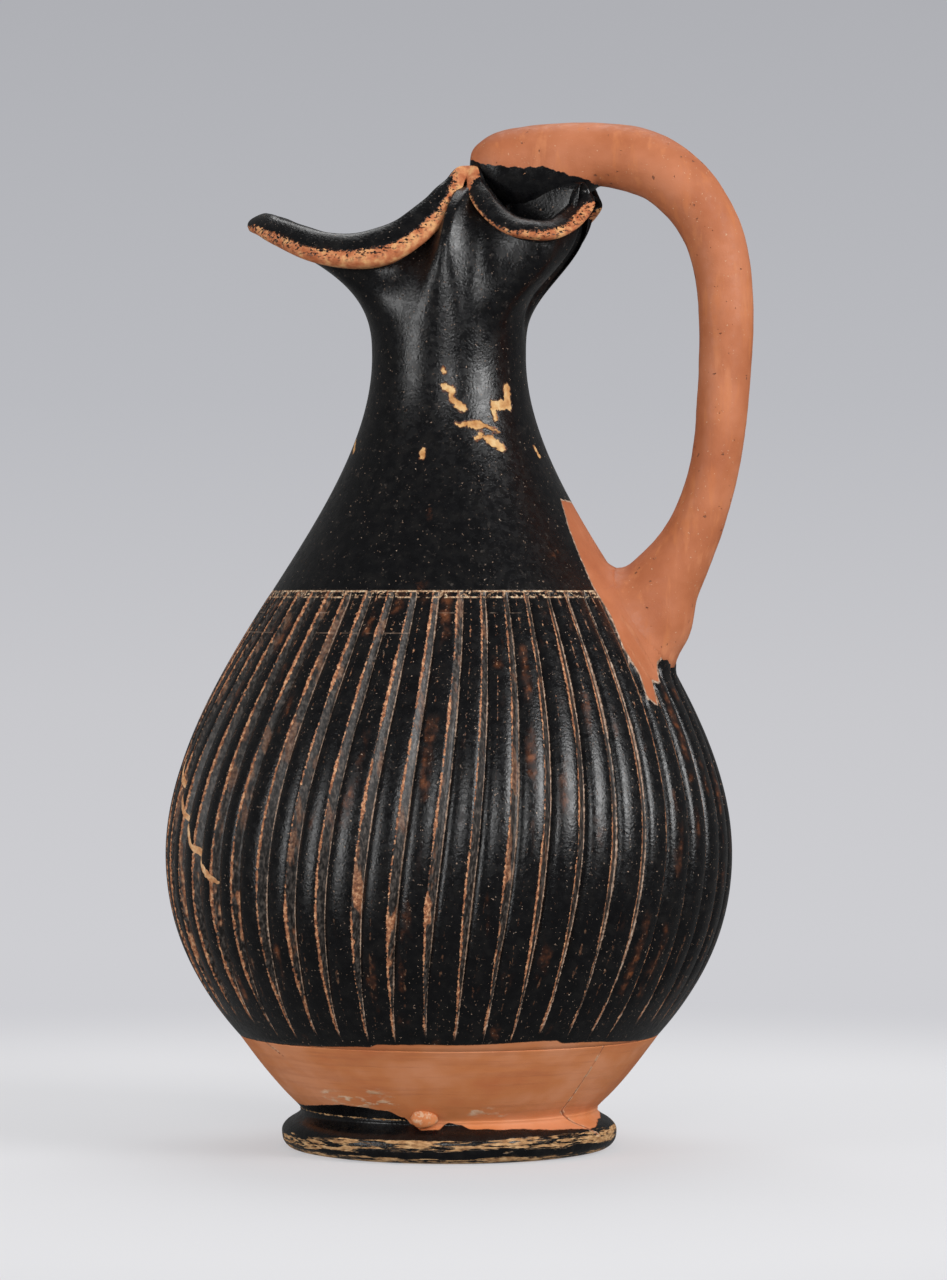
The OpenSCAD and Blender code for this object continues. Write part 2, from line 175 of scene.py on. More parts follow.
@dataclass
class RingForm:
    """A form built of rings of points, each ring turning counterclockwise from above.

    Attributes:
        name: Name of the piece.
        rings: Rings of the same count, from the outer side's foot up and then down inside.
        fields: Named values, one for each point, that the finishes read.
        joined: Whether the last ring meets the first one again.
        first_pole: Point that closes the first ring.
        last_pole: Point that closes the last ring.
    """

    name: str
    rings: list[list[Point]]
    fields: dict[str, list[float]]
    joined: bool = False
    first_pole: Point | None = None
    last_pole: Point | None = None

    def build(self, material: Material | None = None) -> Object:
        """Make the form a mesh object in metres with smooth faces.

        Args:
            material: Its finish, or None where it gets one later.

        Returns:
            The object.
        """
        count = len(self.rings[0])
        points = [point for ring in self.rings for point in ring]
        faces = []
        rows = len(self.rings) if self.joined else len(self.rings) - 1
        for row in range(rows):
            low = row * count
            high = ((row + 1) % len(self.rings)) * count
            for i in range(count):
                j = (i + 1) % count
                faces.append((low + i, low + j, high + j, high + i))
        fields = {name: list(values) for name, values in self.fields.items()}
        if self.first_pole is not None:
            points.append(self.first_pole)
            faces += [(len(points) - 1, (i + 1) % count, i) for i in range(count)]
            for values in fields.values():
                values.append(values[0])
        if self.last_pole is not None:
            points.append(self.last_pole)
            top = (len(self.rings) - 1) * count
            faces += [(top + i, top + (i + 1) % count, len(points) - 1) for i in range(count)]
            for values in fields.values():
                values.append(values[top])
        mesh = bpy.data.meshes.new(self.name)
        mesh.from_pydata([Vector(point) * MM for point in points], [], faces)
        mesh.shade_smooth()
        for name, values in fields.items():
            mesh.attributes.new(name, "FLOAT", "POINT").data.foreach_set("value", values)
        mesh.update()
        if material:
            mesh.materials.append(material)
        return add_object(self.name, mesh)


def place_piece(piece: Object, slot: Slot, *nodes: str) -> None:
    """Let a piece ride on the jug, and stand for CAD nodes.

    Args:
        piece: The finished piece.
        slot: The record's slot for it, which is not used.
        nodes: The CAD nodes that it replaces.
    """
    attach(piece, "root")
    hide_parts(*nodes)
    log.info("%s: %d faces", piece.name, len(piece.data.polygons))


# Finishes


def linear(code: str) -> tuple[float, float, float, float]:
    """Return an sRGB hex colour as linear red, green, blue and alpha."""
    shares = [int(code[i:i + 2], 16) / 255 for i in (1, 3, 5)]
    values = [s / 12.92 if s <= 0.04045 else ((s + 0.055) / 1.055) ** 2.4 for s in shares]
    return (values[0], values[1], values[2], 1.0)


def add_node(tree: NodeTree, kind: str, *fill: object,
             named: dict[str, object] | None = None, **settings: object) -> Node:
    """Add a node with its settings, values and links.

    Args:
        tree: The tree that gets the node.
        kind: Blender's name of the node's type.
        fill: What goes into its sockets in order: a value, a socket, a node or None.
        named: What goes into its sockets by their names.
        settings: The node's own settings.

    Returns:
        The new node.
    """
    node = tree.nodes.new(kind)
    for key, value in settings.items():
        setattr(node, key, value)
    usable = [socket for socket in node.inputs if socket.enabled]
    pairs = list(zip(usable, fill))
    pairs += [(next(s for s in usable if s.name == key), value)
              for key, value in (named or {}).items()]
    for socket, value in pairs:
        if isinstance(value, Node):
            value = next(s for s in value.outputs if s.enabled)
        if isinstance(value, NodeSocket):
            tree.links.new(value, socket)
        elif value is not None:
            socket.default_value = value
    return node


def calc(tree: NodeTree, operation: str, *fill: object) -> Node:
    """Add a sum, a product or another calculation with its inputs in order."""
    return add_node(tree, "ShaderNodeMath", *fill, operation=operation)


@dataclass(frozen=True)
class Finish:
    """One finish of the fired surface.

    Attributes:
        tones: Three sRGB colours, from its darkest place to its palest.
        mottle: Size of its patches of colour in millimetres.
        rough: Roughness of its smoothest and its roughest places.
        grain: Size of its grain in millimetres.
        relief: Height of its grain in millimetres.
        stretch: How much shorter its patches are along x, y and z.
    """

    tones: tuple[str, str, str]
    mottle: float
    rough: tuple[float, float]
    grain: float
    relief: float
    stretch: Point = (1.0, 1.0, 1.0)


# Attic black gloss: a sintered clay slip, near black and glassy, with a fine orange-peel grain
BLACK_GLOSS = Finish(("#08080a", "#0c0c0e", "#151414"), 2.5, (0.18, 0.33), 0.5, 0.07)
# The same slip where it lies thin over the clay: brown and less glassy
THIN_SLIP = Finish(("#24140d", "#4a2817", "#8a4f2b"), 1.6, (0.35, 0.5), 0.5, 0.015)
# Slip on the steep side of a groove, drawn thin by the tool: grey-brown and grainy, its paler greys
# a painted sheen
RUBBED_SLIP_AND_SHEEN = Finish(("#161412", "#2b2725", "#58504a"), 0.5, (0.32, 0.46), 0.4, 0.06,
                     (1, 1, 0.45))
# A crisp edge where the slip has drawn back from the clay: a pale line
PALE_EDGE = Finish(("#7d6250", "#ab8c76", "#cbb19c"), 0.9, (0.45, 0.6), 0.4, 0.01)
# Clay laid bare along the worn edge of a rib: orange, thin and dull
EDGE_CLAY = Finish(("#6f4128", "#a86c48", "#d9a57c"), 0.7, (0.6, 0.8), 0.35, 0.012)
# Clay laid bare on the lips by handling: warm orange, rubbed nearly smooth
LIP_CLAY = Finish(("#ac6038", "#c47b50", "#dba26c"), 2, (0.66, 0.84), 0.4, 0.03)
# Clay laid bare by a chip: pale yellow and dull
CHIPPED_CLAY = Finish(("#b47d48", "#d0a068", "#e0bd88"), 2.2, (0.7, 0.9), 0.4, 0.012)
# Cream clay in the incised line under the shoulder
LINE_CLAY = Finish(("#6d5038", "#b48c6b", "#e2cba9"), 0.7, (0.6, 0.8), 0.35, 0.012)
# Fired clay that never had slip, turned on the wheel: orange-brown, finely brushed
BARE_CLAY = Finish(("#c77343", "#ce7f4c", "#d78d62"), 18, (0.55, 0.72), 0.5, 0.012, (1, 1, 1.6))
# The same clay along the lines of the brush, a little darker
BRUSHED_CLAY = Finish(("#a66040", "#b46c45", "#c27d57"), 5, (0.6, 0.75), 0.5, 0.012)
# Lime dust left on the clay by burial
DUSTY_CLAY = Finish(("#c09a78", "#d3b291", "#e3cbae"), 3, (0.75, 0.9), 0.4, 0.015)
# Clay on the foot's bands, rubbed by use: yellow tan
FOOT_CLAY = Finish(("#8f6640", "#b58a5c", "#cda678"), 1.5, (0.6, 0.8), 0.4, 0.015, (1, 1, 3))
# Painted shade: dark brown for pits and scored lines, standing in for the shade in their hollows
PIT_SHADE = Finish(("#2d1f18", "#49332a", "#6b4c38"), 3, (0.6, 0.8), 0.5, 0.03)
# A hair crack in bare clay: reddish clay, darkened as painted shade in the crack
CRACK_CLAY_AND_SHADE = Finish(("#7f452b", "#9c5a39", "#b97450"), 2, (0.7, 0.85), 0.4, 0.02)
# The restorer's new terracotta, rubbed down by hand: warm, even and dull
NEW_TERRACOTTA = Finish(("#ad623c", "#b66b44", "#c37852"), 14, (0.5, 0.66), 0.5, 0.045)
# The restorer's pale filler in the crack
PALE_FILL = Finish(("#b97c50", "#d4a071", "#e6be92"), 1.4, (0.7, 0.9), 0.5, 0.06)


class Surface:
    """A fired surface laid up in layers, each with its own finish and mask."""

    # The cloudy pattern goes about 0.2 to each side of 0.5, and this makes that 1
    pattern_gain = 5

    def __init__(self, name: str, base: Finish) -> None:
        """Start a material with the finish that lies under all the others."""
        self.material = bpy.data.materials.new(name)
        self.material.use_nodes = True
        self.tree = self.material.node_tree
        self.tree.nodes.clear()
        self.place = add_node(self.tree, "ShaderNodeTexCoord").outputs["Object"]
        self.colour, self.rough, self.height = self._look(base)

    def pattern(self, size: float, stretch: Point = (1, 1, 1), detail: float = 3,
                shift: float = 0) -> Node:
        """Return a cloudy pattern.

        Args:
            size: Size of its patches in millimetres.
            stretch: How much shorter they are along x, y and z.
            detail: Octaves of finer pattern.
            shift: Distance in metres that moves it away from a pattern of the same size.

        Returns:
            The node whose value goes from about 0.3 to 0.7.
        """
        moved = add_node(self.tree, "ShaderNodeMapping", self.place,
                         named={"Location": (shift, shift, shift), "Scale": stretch})
        return add_node(self.tree, "ShaderNodeTexNoise",
                        named={"Vector": moved, "Scale": 1 / (size * MM), "Detail": detail,
                               "Roughness": 0.6})

    def field(self, name: str) -> NodeSocket:
        """Return a value that the mesh carries, in millimetres or as a share."""
        return add_node(self.tree, "ShaderNodeAttribute", attribute_name=name).outputs["Fac"]

    def spread(self, value: object, low: float, high: float, start: float = 0,
               end: float = 1) -> Node:
        """Return a value eased from start at low to end at high."""
        return add_node(self.tree, "ShaderNodeMapRange", value, low, high, start, end,
                        interpolation_type="SMOOTHSTEP")

    def spots(self, size: float, low: float, high: float, share: float = 1,
              stretch: Point = (1, 1, 1), detail: float = 3, shift: float = 0) -> Node:
        """Return a mask of scattered spots.

        Args:
            size: Size of the pattern that they come from in millimetres.
            low: Value of the pattern at which a spot starts.
            high: Value at which it has its whole strength.
            share: That strength.
            stretch: How much shorter the spots are along x, y and z.
            detail: Octaves of finer pattern.
            shift: Distance in metres that moves them away from others of the same size.

        Returns:
            The node whose value goes from 0 to that strength.
        """
        return self.spread(self.pattern(size, stretch, detail, shift), low, high, 0, share)

    def inside(self, name: str, ragged: float = 0.4, size: float = 1.2, soft: float = 0.12,
               grow: float = 0, stretch: Point = (1, 1, 1)) -> Node:
        """Return a mask of the inside of an outline that the mesh carries.

        Args:
            name: The field, millimetres from the outline and positive inside.
            ragged: How far the outline wanders in millimetres.
            size: Size of its wandering in millimetres.
            soft: Half the width of its blur in millimetres.
            grow: How far the mask reaches past the outline in millimetres.
            stretch: How much shorter the wandering is along x, y and z.

        Returns:
            The node whose value is 1 inside and 0 outside.
        """
        wander = calc(self.tree, "ADD", self.pattern(size, stretch, shift=0.3), -0.5)
        moved = calc(self.tree, "MULTIPLY_ADD", wander, self.pattern_gain * ragged,
                     self.field(name))
        return self.spread(moved, -soft - grow, soft - grow)

    def level(self) -> NodeSocket:
        """Return the height over the table in metres."""
        return add_node(self.tree, "ShaderNodeSeparateXYZ", self.place).outputs["Z"]

    def around(self, height: float, half: float) -> Node:
        """Return a mask of a level band, from its middle height and half its width in mm."""
        away = calc(self.tree, "SUBTRACT", self.level(), height * MM)
        size = calc(self.tree, "ABSOLUTE", away)
        return self.spread(size, half * MM, half * MM * 0.5)

    def both(self, a: object, b: object) -> Node:
        """Return a mask of what two masks share."""
        return calc(self.tree, "MULTIPLY", a, b)

    def _look(self, finish: Finish) -> tuple[Node, Node, Node]:
        """Return the nodes of a finish's colour, roughness and height."""
        tone = add_node(self.tree, "ShaderNodeValToRGB",
                        self.pattern(finish.mottle, finish.stretch))
        stops = tone.color_ramp.elements
        stops.new(0.5)
        for stop, place, code in zip(stops, (0.36, 0.5, 0.64), finish.tones):
            stop.position = place
            stop.color = linear(code)
        grain = self.pattern(finish.grain, detail=2)
        rough = self.spread(self.pattern(finish.grain * 3, shift=0.1), 0.35, 0.65, *finish.rough)
        height = calc(self.tree, "MULTIPLY", grain, finish.relief * MM)
        return tone, rough, height

    def lay(self, finish: Finish, mask: object, step: float = 0) -> None:
        """Lay a finish over what is there.

        Args:
            finish: The finish.
            mask: Where it lies, from 0 to 1.
            step: How far it stands over what it covers, in millimetres.
        """
        tone, rough, height = self._look(finish)
        raised = calc(self.tree, "ADD", height, step * MM)
        self.colour = add_node(self.tree, "ShaderNodeMix", mask, self.colour, tone,
                               data_type="RGBA")
        self.rough = add_node(self.tree, "ShaderNodeMix", mask, self.rough, rough)
        self.height = add_node(self.tree, "ShaderNodeMix", mask, self.height, raised)

    def complete(self) -> Material:
        """Join the layers to the shader and return the material."""
        bump = add_node(self.tree, "ShaderNodeBump", named={"Height": self.height,
                                                            "Distance": 1.0})
        shader = add_node(self.tree, "ShaderNodeBsdfPrincipled",
                          named={"Base Color": self.colour, "Roughness": self.rough,
                                 "Normal": bump, "Specular IOR Level": 0.4})
        add_node(self.tree, "ShaderNodeOutputMaterial", shader)
        return self.material


# The thrown wall


@dataclass(frozen=True)
class ThrownProfile:
    """The outer profile of the body and neck, and its wall.

    Attributes:
        stations: Height, radius and slope where two curves of the profile meet.
        wall: Thickness of the wall.
        seam_row: Height of the thin row of faces on each side of the shoulder's seam.
    """

    stations: tuple[Point, ...]
    wall: float = 3.4
    seam_row: float = 0.04

    @classmethod
    def from_frame(cls) -> "ThrownProfile":
        """Read the heights and radii that the CAD nodes show."""
        band = corners("lower_body")[1]
        shoulder_low, shoulder_high = corners("shoulder_neck")
        belly_radius, belly_height = 56.5, 59.0
        neck_radius = 15.4
        return cls(((band.z, band.x, 0.9), (belly_height, belly_radius, 0.0),
                    (shoulder_low.z, -shoulder_low.x, -0.64),
                    (shoulder_high.z, neck_radius, 0.0)))

    @property
    def band(self) -> float:
        """Height of the edge between bare clay and ribs."""
        return self.stations[0][0]

    @property
    def shoulder(self) -> float:
        """Height of the incised line."""
        return self.stations[2][0]

    @property
    def neck(self) -> float:
        """Height of the narrowest place of the neck."""
        return self.stations[3][0]

    @property
    def neck_radius(self) -> float:
        """Radius of the narrowest place of the neck."""
        return self.stations[3][1]

    def radius(self, z: float) -> float:
        """Return the outer radius at a height."""
        z = min(max(z, self.band), self.neck)
        low, high = next(pair for pair in zip(self.stations, self.stations[1:])
                         if z <= pair[1][0])
        h = high[0] - low[0]
        t = (z - low[0]) / h
        return ((2 * t ** 3 - 3 * t ** 2 + 1) * low[1] + (t ** 3 - 2 * t ** 2 + t) * h * low[2]
                + (3 * t ** 2 - 2 * t ** 3) * high[1] + (t ** 3 - t ** 2) * h * high[2])

    def slope(self, z: float) -> float:
        """Return how fast the radius grows with height."""
        return self.radius(z + 0.5) - self.radius(z - 0.5)

    def inner(self, z: float) -> float:
        """Return the inner radius at a height."""
        return self.radius(z) - self.wall * math.hypot(1, self.slope(z))

    def turn(self, z: float) -> float:
        """Return the degrees that the ribs have turned at a height."""
        start, whole_turn = 3.9, 10.5
        return start + whole_turn * (z - self.band) / (self.shoulder - self.band)


@dataclass(frozen=True)
class Stroke:
    """A short mark on the wall.

    Attributes:
        start: Angle and height of its first end.
        end: Angle and height of its other end.
        width: Its width in millimetres.
    """

    start: tuple[float, float]
    end: tuple[float, float]
    width: float

    def depth_inside(self, angle: float, z: float, radius: float) -> float:
        """Return the millimetres that a place lies inside the mark, negative outside."""
        per_degree = math.radians(1) * radius
        ax, ay = (self.start[0] - angle) * per_degree, self.start[1] - z
        bx, by = (self.end[0] - angle) * per_degree, self.end[1] - z
        return self.width / 2 - stretch_distance(ax, ay, bx, by)


@dataclass(frozen=True)
class Patch:
    """The restorer's patch of new terracotta at the handle's lower root.

    Attributes:
        half_angle: Half the angle that it covers.
        top: Height of its top.
        bottom: Height of its lowest point.
        sunk: How far its face lies under the slip round it.
        scores: The lines that the restorer scored to carry the ribs on.
    """

    half_angle: float = 24.0
    top: float = 129.4
    bottom: float = 88.5
    sunk: float = 0.25
    scores: tuple[Stroke, ...] = (
        Stroke((-18.5, 105.8), (-13.5, 95.8), 0.7), Stroke((-21.5, 100.6), (-18.5, 93.2), 0.7),
        Stroke((9, 104), (12, 95), 0.7), Stroke((16, 103), (18.5, 94.5), 0.7))

    def outline(self) -> list[tuple[float, float]]:
        """Return its corners as angle and height."""
        t, b, half = self.top, self.bottom, self.half_angle
        edge = ((-0.54, t), (-0.8, t - 5.6), (-0.93, t - 11.5), (-1, t - 17.3), (-0.95, t - 23),
                (-1.02, b + 11.5), (-0.95, b + 6.7), (-1, b + 1.9), (-0.86, b), (-0.74, b + 5),
                (-0.6, b + 4.4), (-0.44, b + 8.2), (-0.16, b + 9.8), (0.1, b + 7.4),
                (0.36, b + 8.6), (0.62, b + 4.8), (0.98, b + 6.8), (1.04, b + 14.8),
                (0.94, t - 20), (0.9, t - 12), (0.7, t - 5), (0.44, t - 0.6))
        return [(share * half, height) for share, height in edge]

    def depth_inside(self, angle: float, z: float, radius: float) -> float:
        """Return the millimetres that a place lies inside the patch, negative outside."""
        per_degree = math.radians(1) * radius
        corners_here = [((a - angle) * per_degree, h - z) for a, h in self.outline()]
        nearest = math.inf
        within = False
        for (ax, ay), (bx, by) in zip(corners_here, corners_here[1:] + corners_here[:1]):
            nearest = min(nearest, stretch_distance(ax, ay, bx, by))
            if (ay > 0) != (by > 0) and ax - ay * (bx - ax) / (by - ay) > 0:
                within = not within
        return nearest if within else -nearest


@dataclass(frozen=True)
class WallMarks:
    """What lies on the thrown wall: the patch, chips, cracks, dust and the slip's edges."""

    profile: ThrownProfile
    patch: Patch = Patch()
    # Each row of strokes is one chip: two hooks, an arc and its shadow, then lone ones
    chips: tuple[Stroke, ...] = (
        Stroke((-80.5, 151.4), (-76.5, 150.9), 1.5), Stroke((-76.5, 150.6), (-76, 149.2), 0.9),
        Stroke((-75.5, 149), (-72, 147.8), 1.1), Stroke((-72, 147.9), (-68.5, 147.1), 1.5),
        Stroke((-32.5, 151.3), (-33.5, 147.6), 1.7), Stroke((-35, 148), (-45, 147.9), 1.9),
        Stroke((-46.5, 148.2), (-46.3, 145.2), 1.2),
        Stroke((-73, 143.9), (-62, 144.4), 0.7), Stroke((-64, 144), (-58, 144), 1.6),
        Stroke((-57, 144.2), (-46, 142.6), 0.8),
        Stroke((-62, 141.2), (-58, 142), 0.7), Stroke((-58, 141.8), (-54, 141.2), 1.1),
        Stroke((-53.5, 141), (-46, 139.4), 1.8),
        Stroke((-93.1, 138.8), (-92.8, 137.6), 0.9), Stroke((-17, 139.6), (-15.5, 138), 0.9),
        Stroke((-82, 154.7), (-81, 154.4), 0.8),
        Stroke((40, 146), (52, 143), 1.0), Stroke((120, 150), (131, 147), 1.0),
        Stroke((-160, 141), (-152, 139), 0.9), Stroke((170, 120), (176, 118), 1.1))
    # Hair cracks that run down over the bare clay
    cracks: tuple[Stroke, ...] = (
        Stroke((-32, 24.6), (-32.6, 9.6), 0.3), Stroke((-32.6, 9.6), (-16, 4.1), 0.3),
        Stroke((-139, 24.2), (-131.6, 20.2), 0.4))
    # Where lime dust lies on the bare clay
    dust: tuple[Stroke, ...] = (
        Stroke((-122, 12.6), (-98, 11.4), 2.6), Stroke((-104, 14.4), (-97, 13.2), 1.4),
        Stroke((-70, 10.4), (-58, 10.2), 0.7))
    # Millimetres that the slip's edge lies over its usual height, by angle from the front
    slip_rise = ((-90, -0.1), (-57, 0.0), (-21.5, 0.6), (-18.5, 1.2), (0, 1.4), (24, 1.85),
                 (28, 1.8), (31, 1.1), (70, 0.2), (90, 0.0), (120, 0.5), (160, -0.3), (180, 0))
    # Height that the black slip on the foot reaches, by angle from the front
    dark_top = ((-180, 6.4), (-130, 7.4), (-100, 9.2), (-70, 9.6), (-38, 11.0), (-23, 10.3),
                (-17, 9.0), (-14, 7.6), (-10, 6.6), (-4, 6.8), (0, 8.0), (4, 7.6), (8, 6.8),
                (22, 6.6), (45, 6.0), (59, 5.4), (75, 6.5), (90, 7.0), (140, 6.2), (180, 6.4))
    front: float = -78.0

    def patch_depth(self, angle: float, z: float) -> float:
        """Return the millimetres that a place lies inside the patch, negative outside."""
        if abs(angle) > self.patch.half_angle * 1.4 or z < self.patch.bottom - 6:
            return FAR_OUTSIDE
        return max(self.patch.depth_inside(angle, z, self.profile.radius(z)), FAR_OUTSIDE)

    def score_depth(self, angle: float, z: float) -> float:
        """Return the millimetres that a place lies inside a scored line."""
        radius = self.profile.radius(z)
        return max(score.depth_inside(angle, z, radius) for score in self.patch.scores)

    def chip_depth(self, angle: float, z: float) -> float:
        """Return the millimetres that a place lies inside a chip."""
        return self.deepest(self.chips, angle, z, self.profile.radius(z))

    def slip_height(self, angle: float) -> float:
        """Return the height of the slip's lower edge, which the potter brushed by hand."""
        ripple = 0.1 * math.sin(math.radians(angle * 7 + 30))
        return self.profile.band + table_value(self.slip_rise, wrapped(angle - self.front)) + ripple

    def dark_depth(self, angle: float, z: float) -> float:
        """Return the millimetres that a place lies under the top of the foot's black slip."""
        return table_value(self.dark_top, wrapped(angle - self.front)) - z

    @staticmethod
    def deepest(strokes: Sequence[Stroke], angle: float, z: float, radius: float) -> float:
        """Return the millimetres that a place lies inside the nearest of some strokes."""
        return max(max(s.depth_inside(angle, z, radius) for s in strokes), FAR_OUTSIDE)


# The handle


@dataclass(frozen=True)
class HandlePlan:
    """The handle's route and its oval section.

    Attributes:
        thickness: Its thickness, seen from the side.
        width: Its width, seen from behind.
        reach: Distance of its middle line from the axis.
        top: Height of its middle line over the mouth.
        foot: Height of its middle line where it meets the body.
        steps: Steps between two stations.
    """

    thickness: float = 10.8
    width: float = 12.0
    reach: float = 56.0
    top: float = 198.0
    foot: float = 106.5
    steps: int = 11

    def line(self) -> list[tuple[float, ...]]:
        """Return x, height, half thickness and half width along the handle."""
        r, t, f = self.reach, self.top, self.foot
        thick, wide = self.thickness / 2, self.width / 2
        return smooth_line((
            (4.4, t - 1.4, thick * 0.12, wide * 0.12), (5.1, t - 1.4, thick * 0.5, wide * 0.5),
            (7.2, t - 1.2, thick * 0.8, wide * 0.8), (10.8, t - 0.8, thick + 0.3, wide),
            (16, t - 0.4, thick + 0.9, wide), (23, t, thick + 1, wide),
            (30.5, t - 0.1, thick + 1, wide), (37.5, t - 1.2, thick + 1.2, wide),
            (r - 12.5, t - 3.8, thick + 1.1, wide), (r - 7.6, t - 8.2, thick + 0.9, wide),
            (r - 4, t - 13.3, thick + 0.6, wide), (r - 1.5, t - 19.5, thick + 0.4, wide),
            (r - 0.2, t - 28, thick + 0.2, wide), (r, t - 36.5, thick, wide),
            (r - 0.6, t - 48.2, thick - 0.2, wide), (r - 1.4, f + 34.5, thick - 0.4, wide),
            (r - 2.7, f + 27.5, thick - 0.4, wide), (r - 5, f + 20, thick - 0.2, wide + 0.2),
            (r - 8.3, f + 12.8, thick + 0.6, wide + 0.8),
            (r - 12.4, f + 6.4, thick + 2.2, wide + 2),
            (r - 16.3, f + 0.8, thick + 5.2, wide + 3.6),
            (r - 21.4, f - 2.8, thick + 6.4, wide + 5)), self.steps)


class RootFillet:
    """The smooth corner between the handle's lower root and the body.

    Both meshes are drawn out to one blended face, and each dives under the other past
    the middle of the corner.
    """

    blend = 5.0
    dive = 0.35
    start_height = 140.0
    # Where points are near enough to be moved: least x, greatest y and the heights
    near_x, near_y, near_low, near_high = 18, 26, 84, 132
    rounds = 6

    def __init__(self, profile: ThrownProfile, plan: HandlePlan) -> None:
        """Keep the profile and the lower part of the handle's line."""
        self.profile = profile
        line = plan.line()
        self.samples = []
        for a, b in zip(line, line[1:]):
            if b[1] < self.start_height and b[0] > plan.reach / 2:
                along = Vector((b[0] - a[0], b[1] - a[1])).normalized()
                self.samples.append((b, along))

    def near(self, point: Point) -> bool:
        """Return whether a point is near enough to the root to be moved."""
        return (point[0] > self.near_x and abs(point[1]) < self.near_y
                and self.near_low < point[2] < self.near_high)

    def handle_distance(self, point: Vector) -> float:
        """Return the distance from a point to the handle's face, negative inside."""
        (x, z, thick, wide), along = min(
            self.samples, key=lambda s: (s[0][0] - point.x) ** 2 + (s[0][1] - point.z) ** 2)
        dx, dz = point.x - x, point.z - z
        out = -dx * along.y + dz * along.x
        size = math.hypot(out, point.y)
        share = math.hypot(out / thick, point.y / wide)
        return size - size / share if share > 1e-6 else -thick

    def body_distance(self, point: Vector) -> float:
        """Return the distance from a point to the body's face, negative inside."""
        steep = math.hypot(1, self.profile.slope(point.z))
        return (math.hypot(point.x, point.y) - self.profile.radius(point.z)) / steep

    def settle(self, point: Point, normal: Vector, origin: Origin) -> Point:
        """Move a point of the handle or body to the blended face.

        Args:
            point: The point on its own plain face.
            normal: That face's outward normal.
            origin: Which of the two it belongs to.

        Returns:
            The point's new place.
        """
        place = Vector(point)
        bias = self.handle_distance(place) if origin is Origin.HANDLE else 0.0
        for _ in range(self.rounds):
            a, b = self.handle_distance(place) - bias, self.body_distance(place)
            other = b if origin is Origin.HANDLE else a
            if other < -1.5:
                return tuple(place)
            share = max(self.blend - abs(a - b), 0) / self.blend
            gap = min(a, b) - share * share * self.blend / 4
            place -= normal * max(min(gap, 1.0), -1.0)
        a, b = self.handle_distance(place) - bias, self.body_distance(place)
        own, other = (a, b) if origin is Origin.HANDLE else (b, a)
        past = max(own - other, 0)
        return tuple(place - normal * min(self.dive * past * past, 2.0))


def place_on_wall(marks: WallMarks, fillet: RootFillet, angle: float, z: float,
                  carved: float = 0.0) -> tuple[Point, float, float]:
    """Place a point of the outer wall, sunk in the patch and drawn out to the handle.

    Args:
        marks: What lies on the wall.
        fillet: The handle's lower root.
        angle: The point's angle.
        z: Its height.
        carved: Depth of a scored line in millimetres.

    Returns:
        The point, and the millimetres that it lies inside the patch and a scored line.
    """
    flat, turn = wrapped(angle), math.radians(angle)
    patch = marks.patch_depth(flat, z)
    score = marks.score_depth(flat, z) if patch > 0 else FAR_OUTSIDE
    sunk = marks.patch.sunk * smooth(-0.3, 0.5, patch) + carved * smooth(-0.1, 0.25, score)
    point = polar(marks.profile.radius(z) - sunk, turn, z)
    if fillet.near(point):
        normal = Vector(polar(1, turn, -marks.profile.slope(z))).normalized()
        point = fillet.settle(point, normal, Origin.BODY)
    return point, patch, score


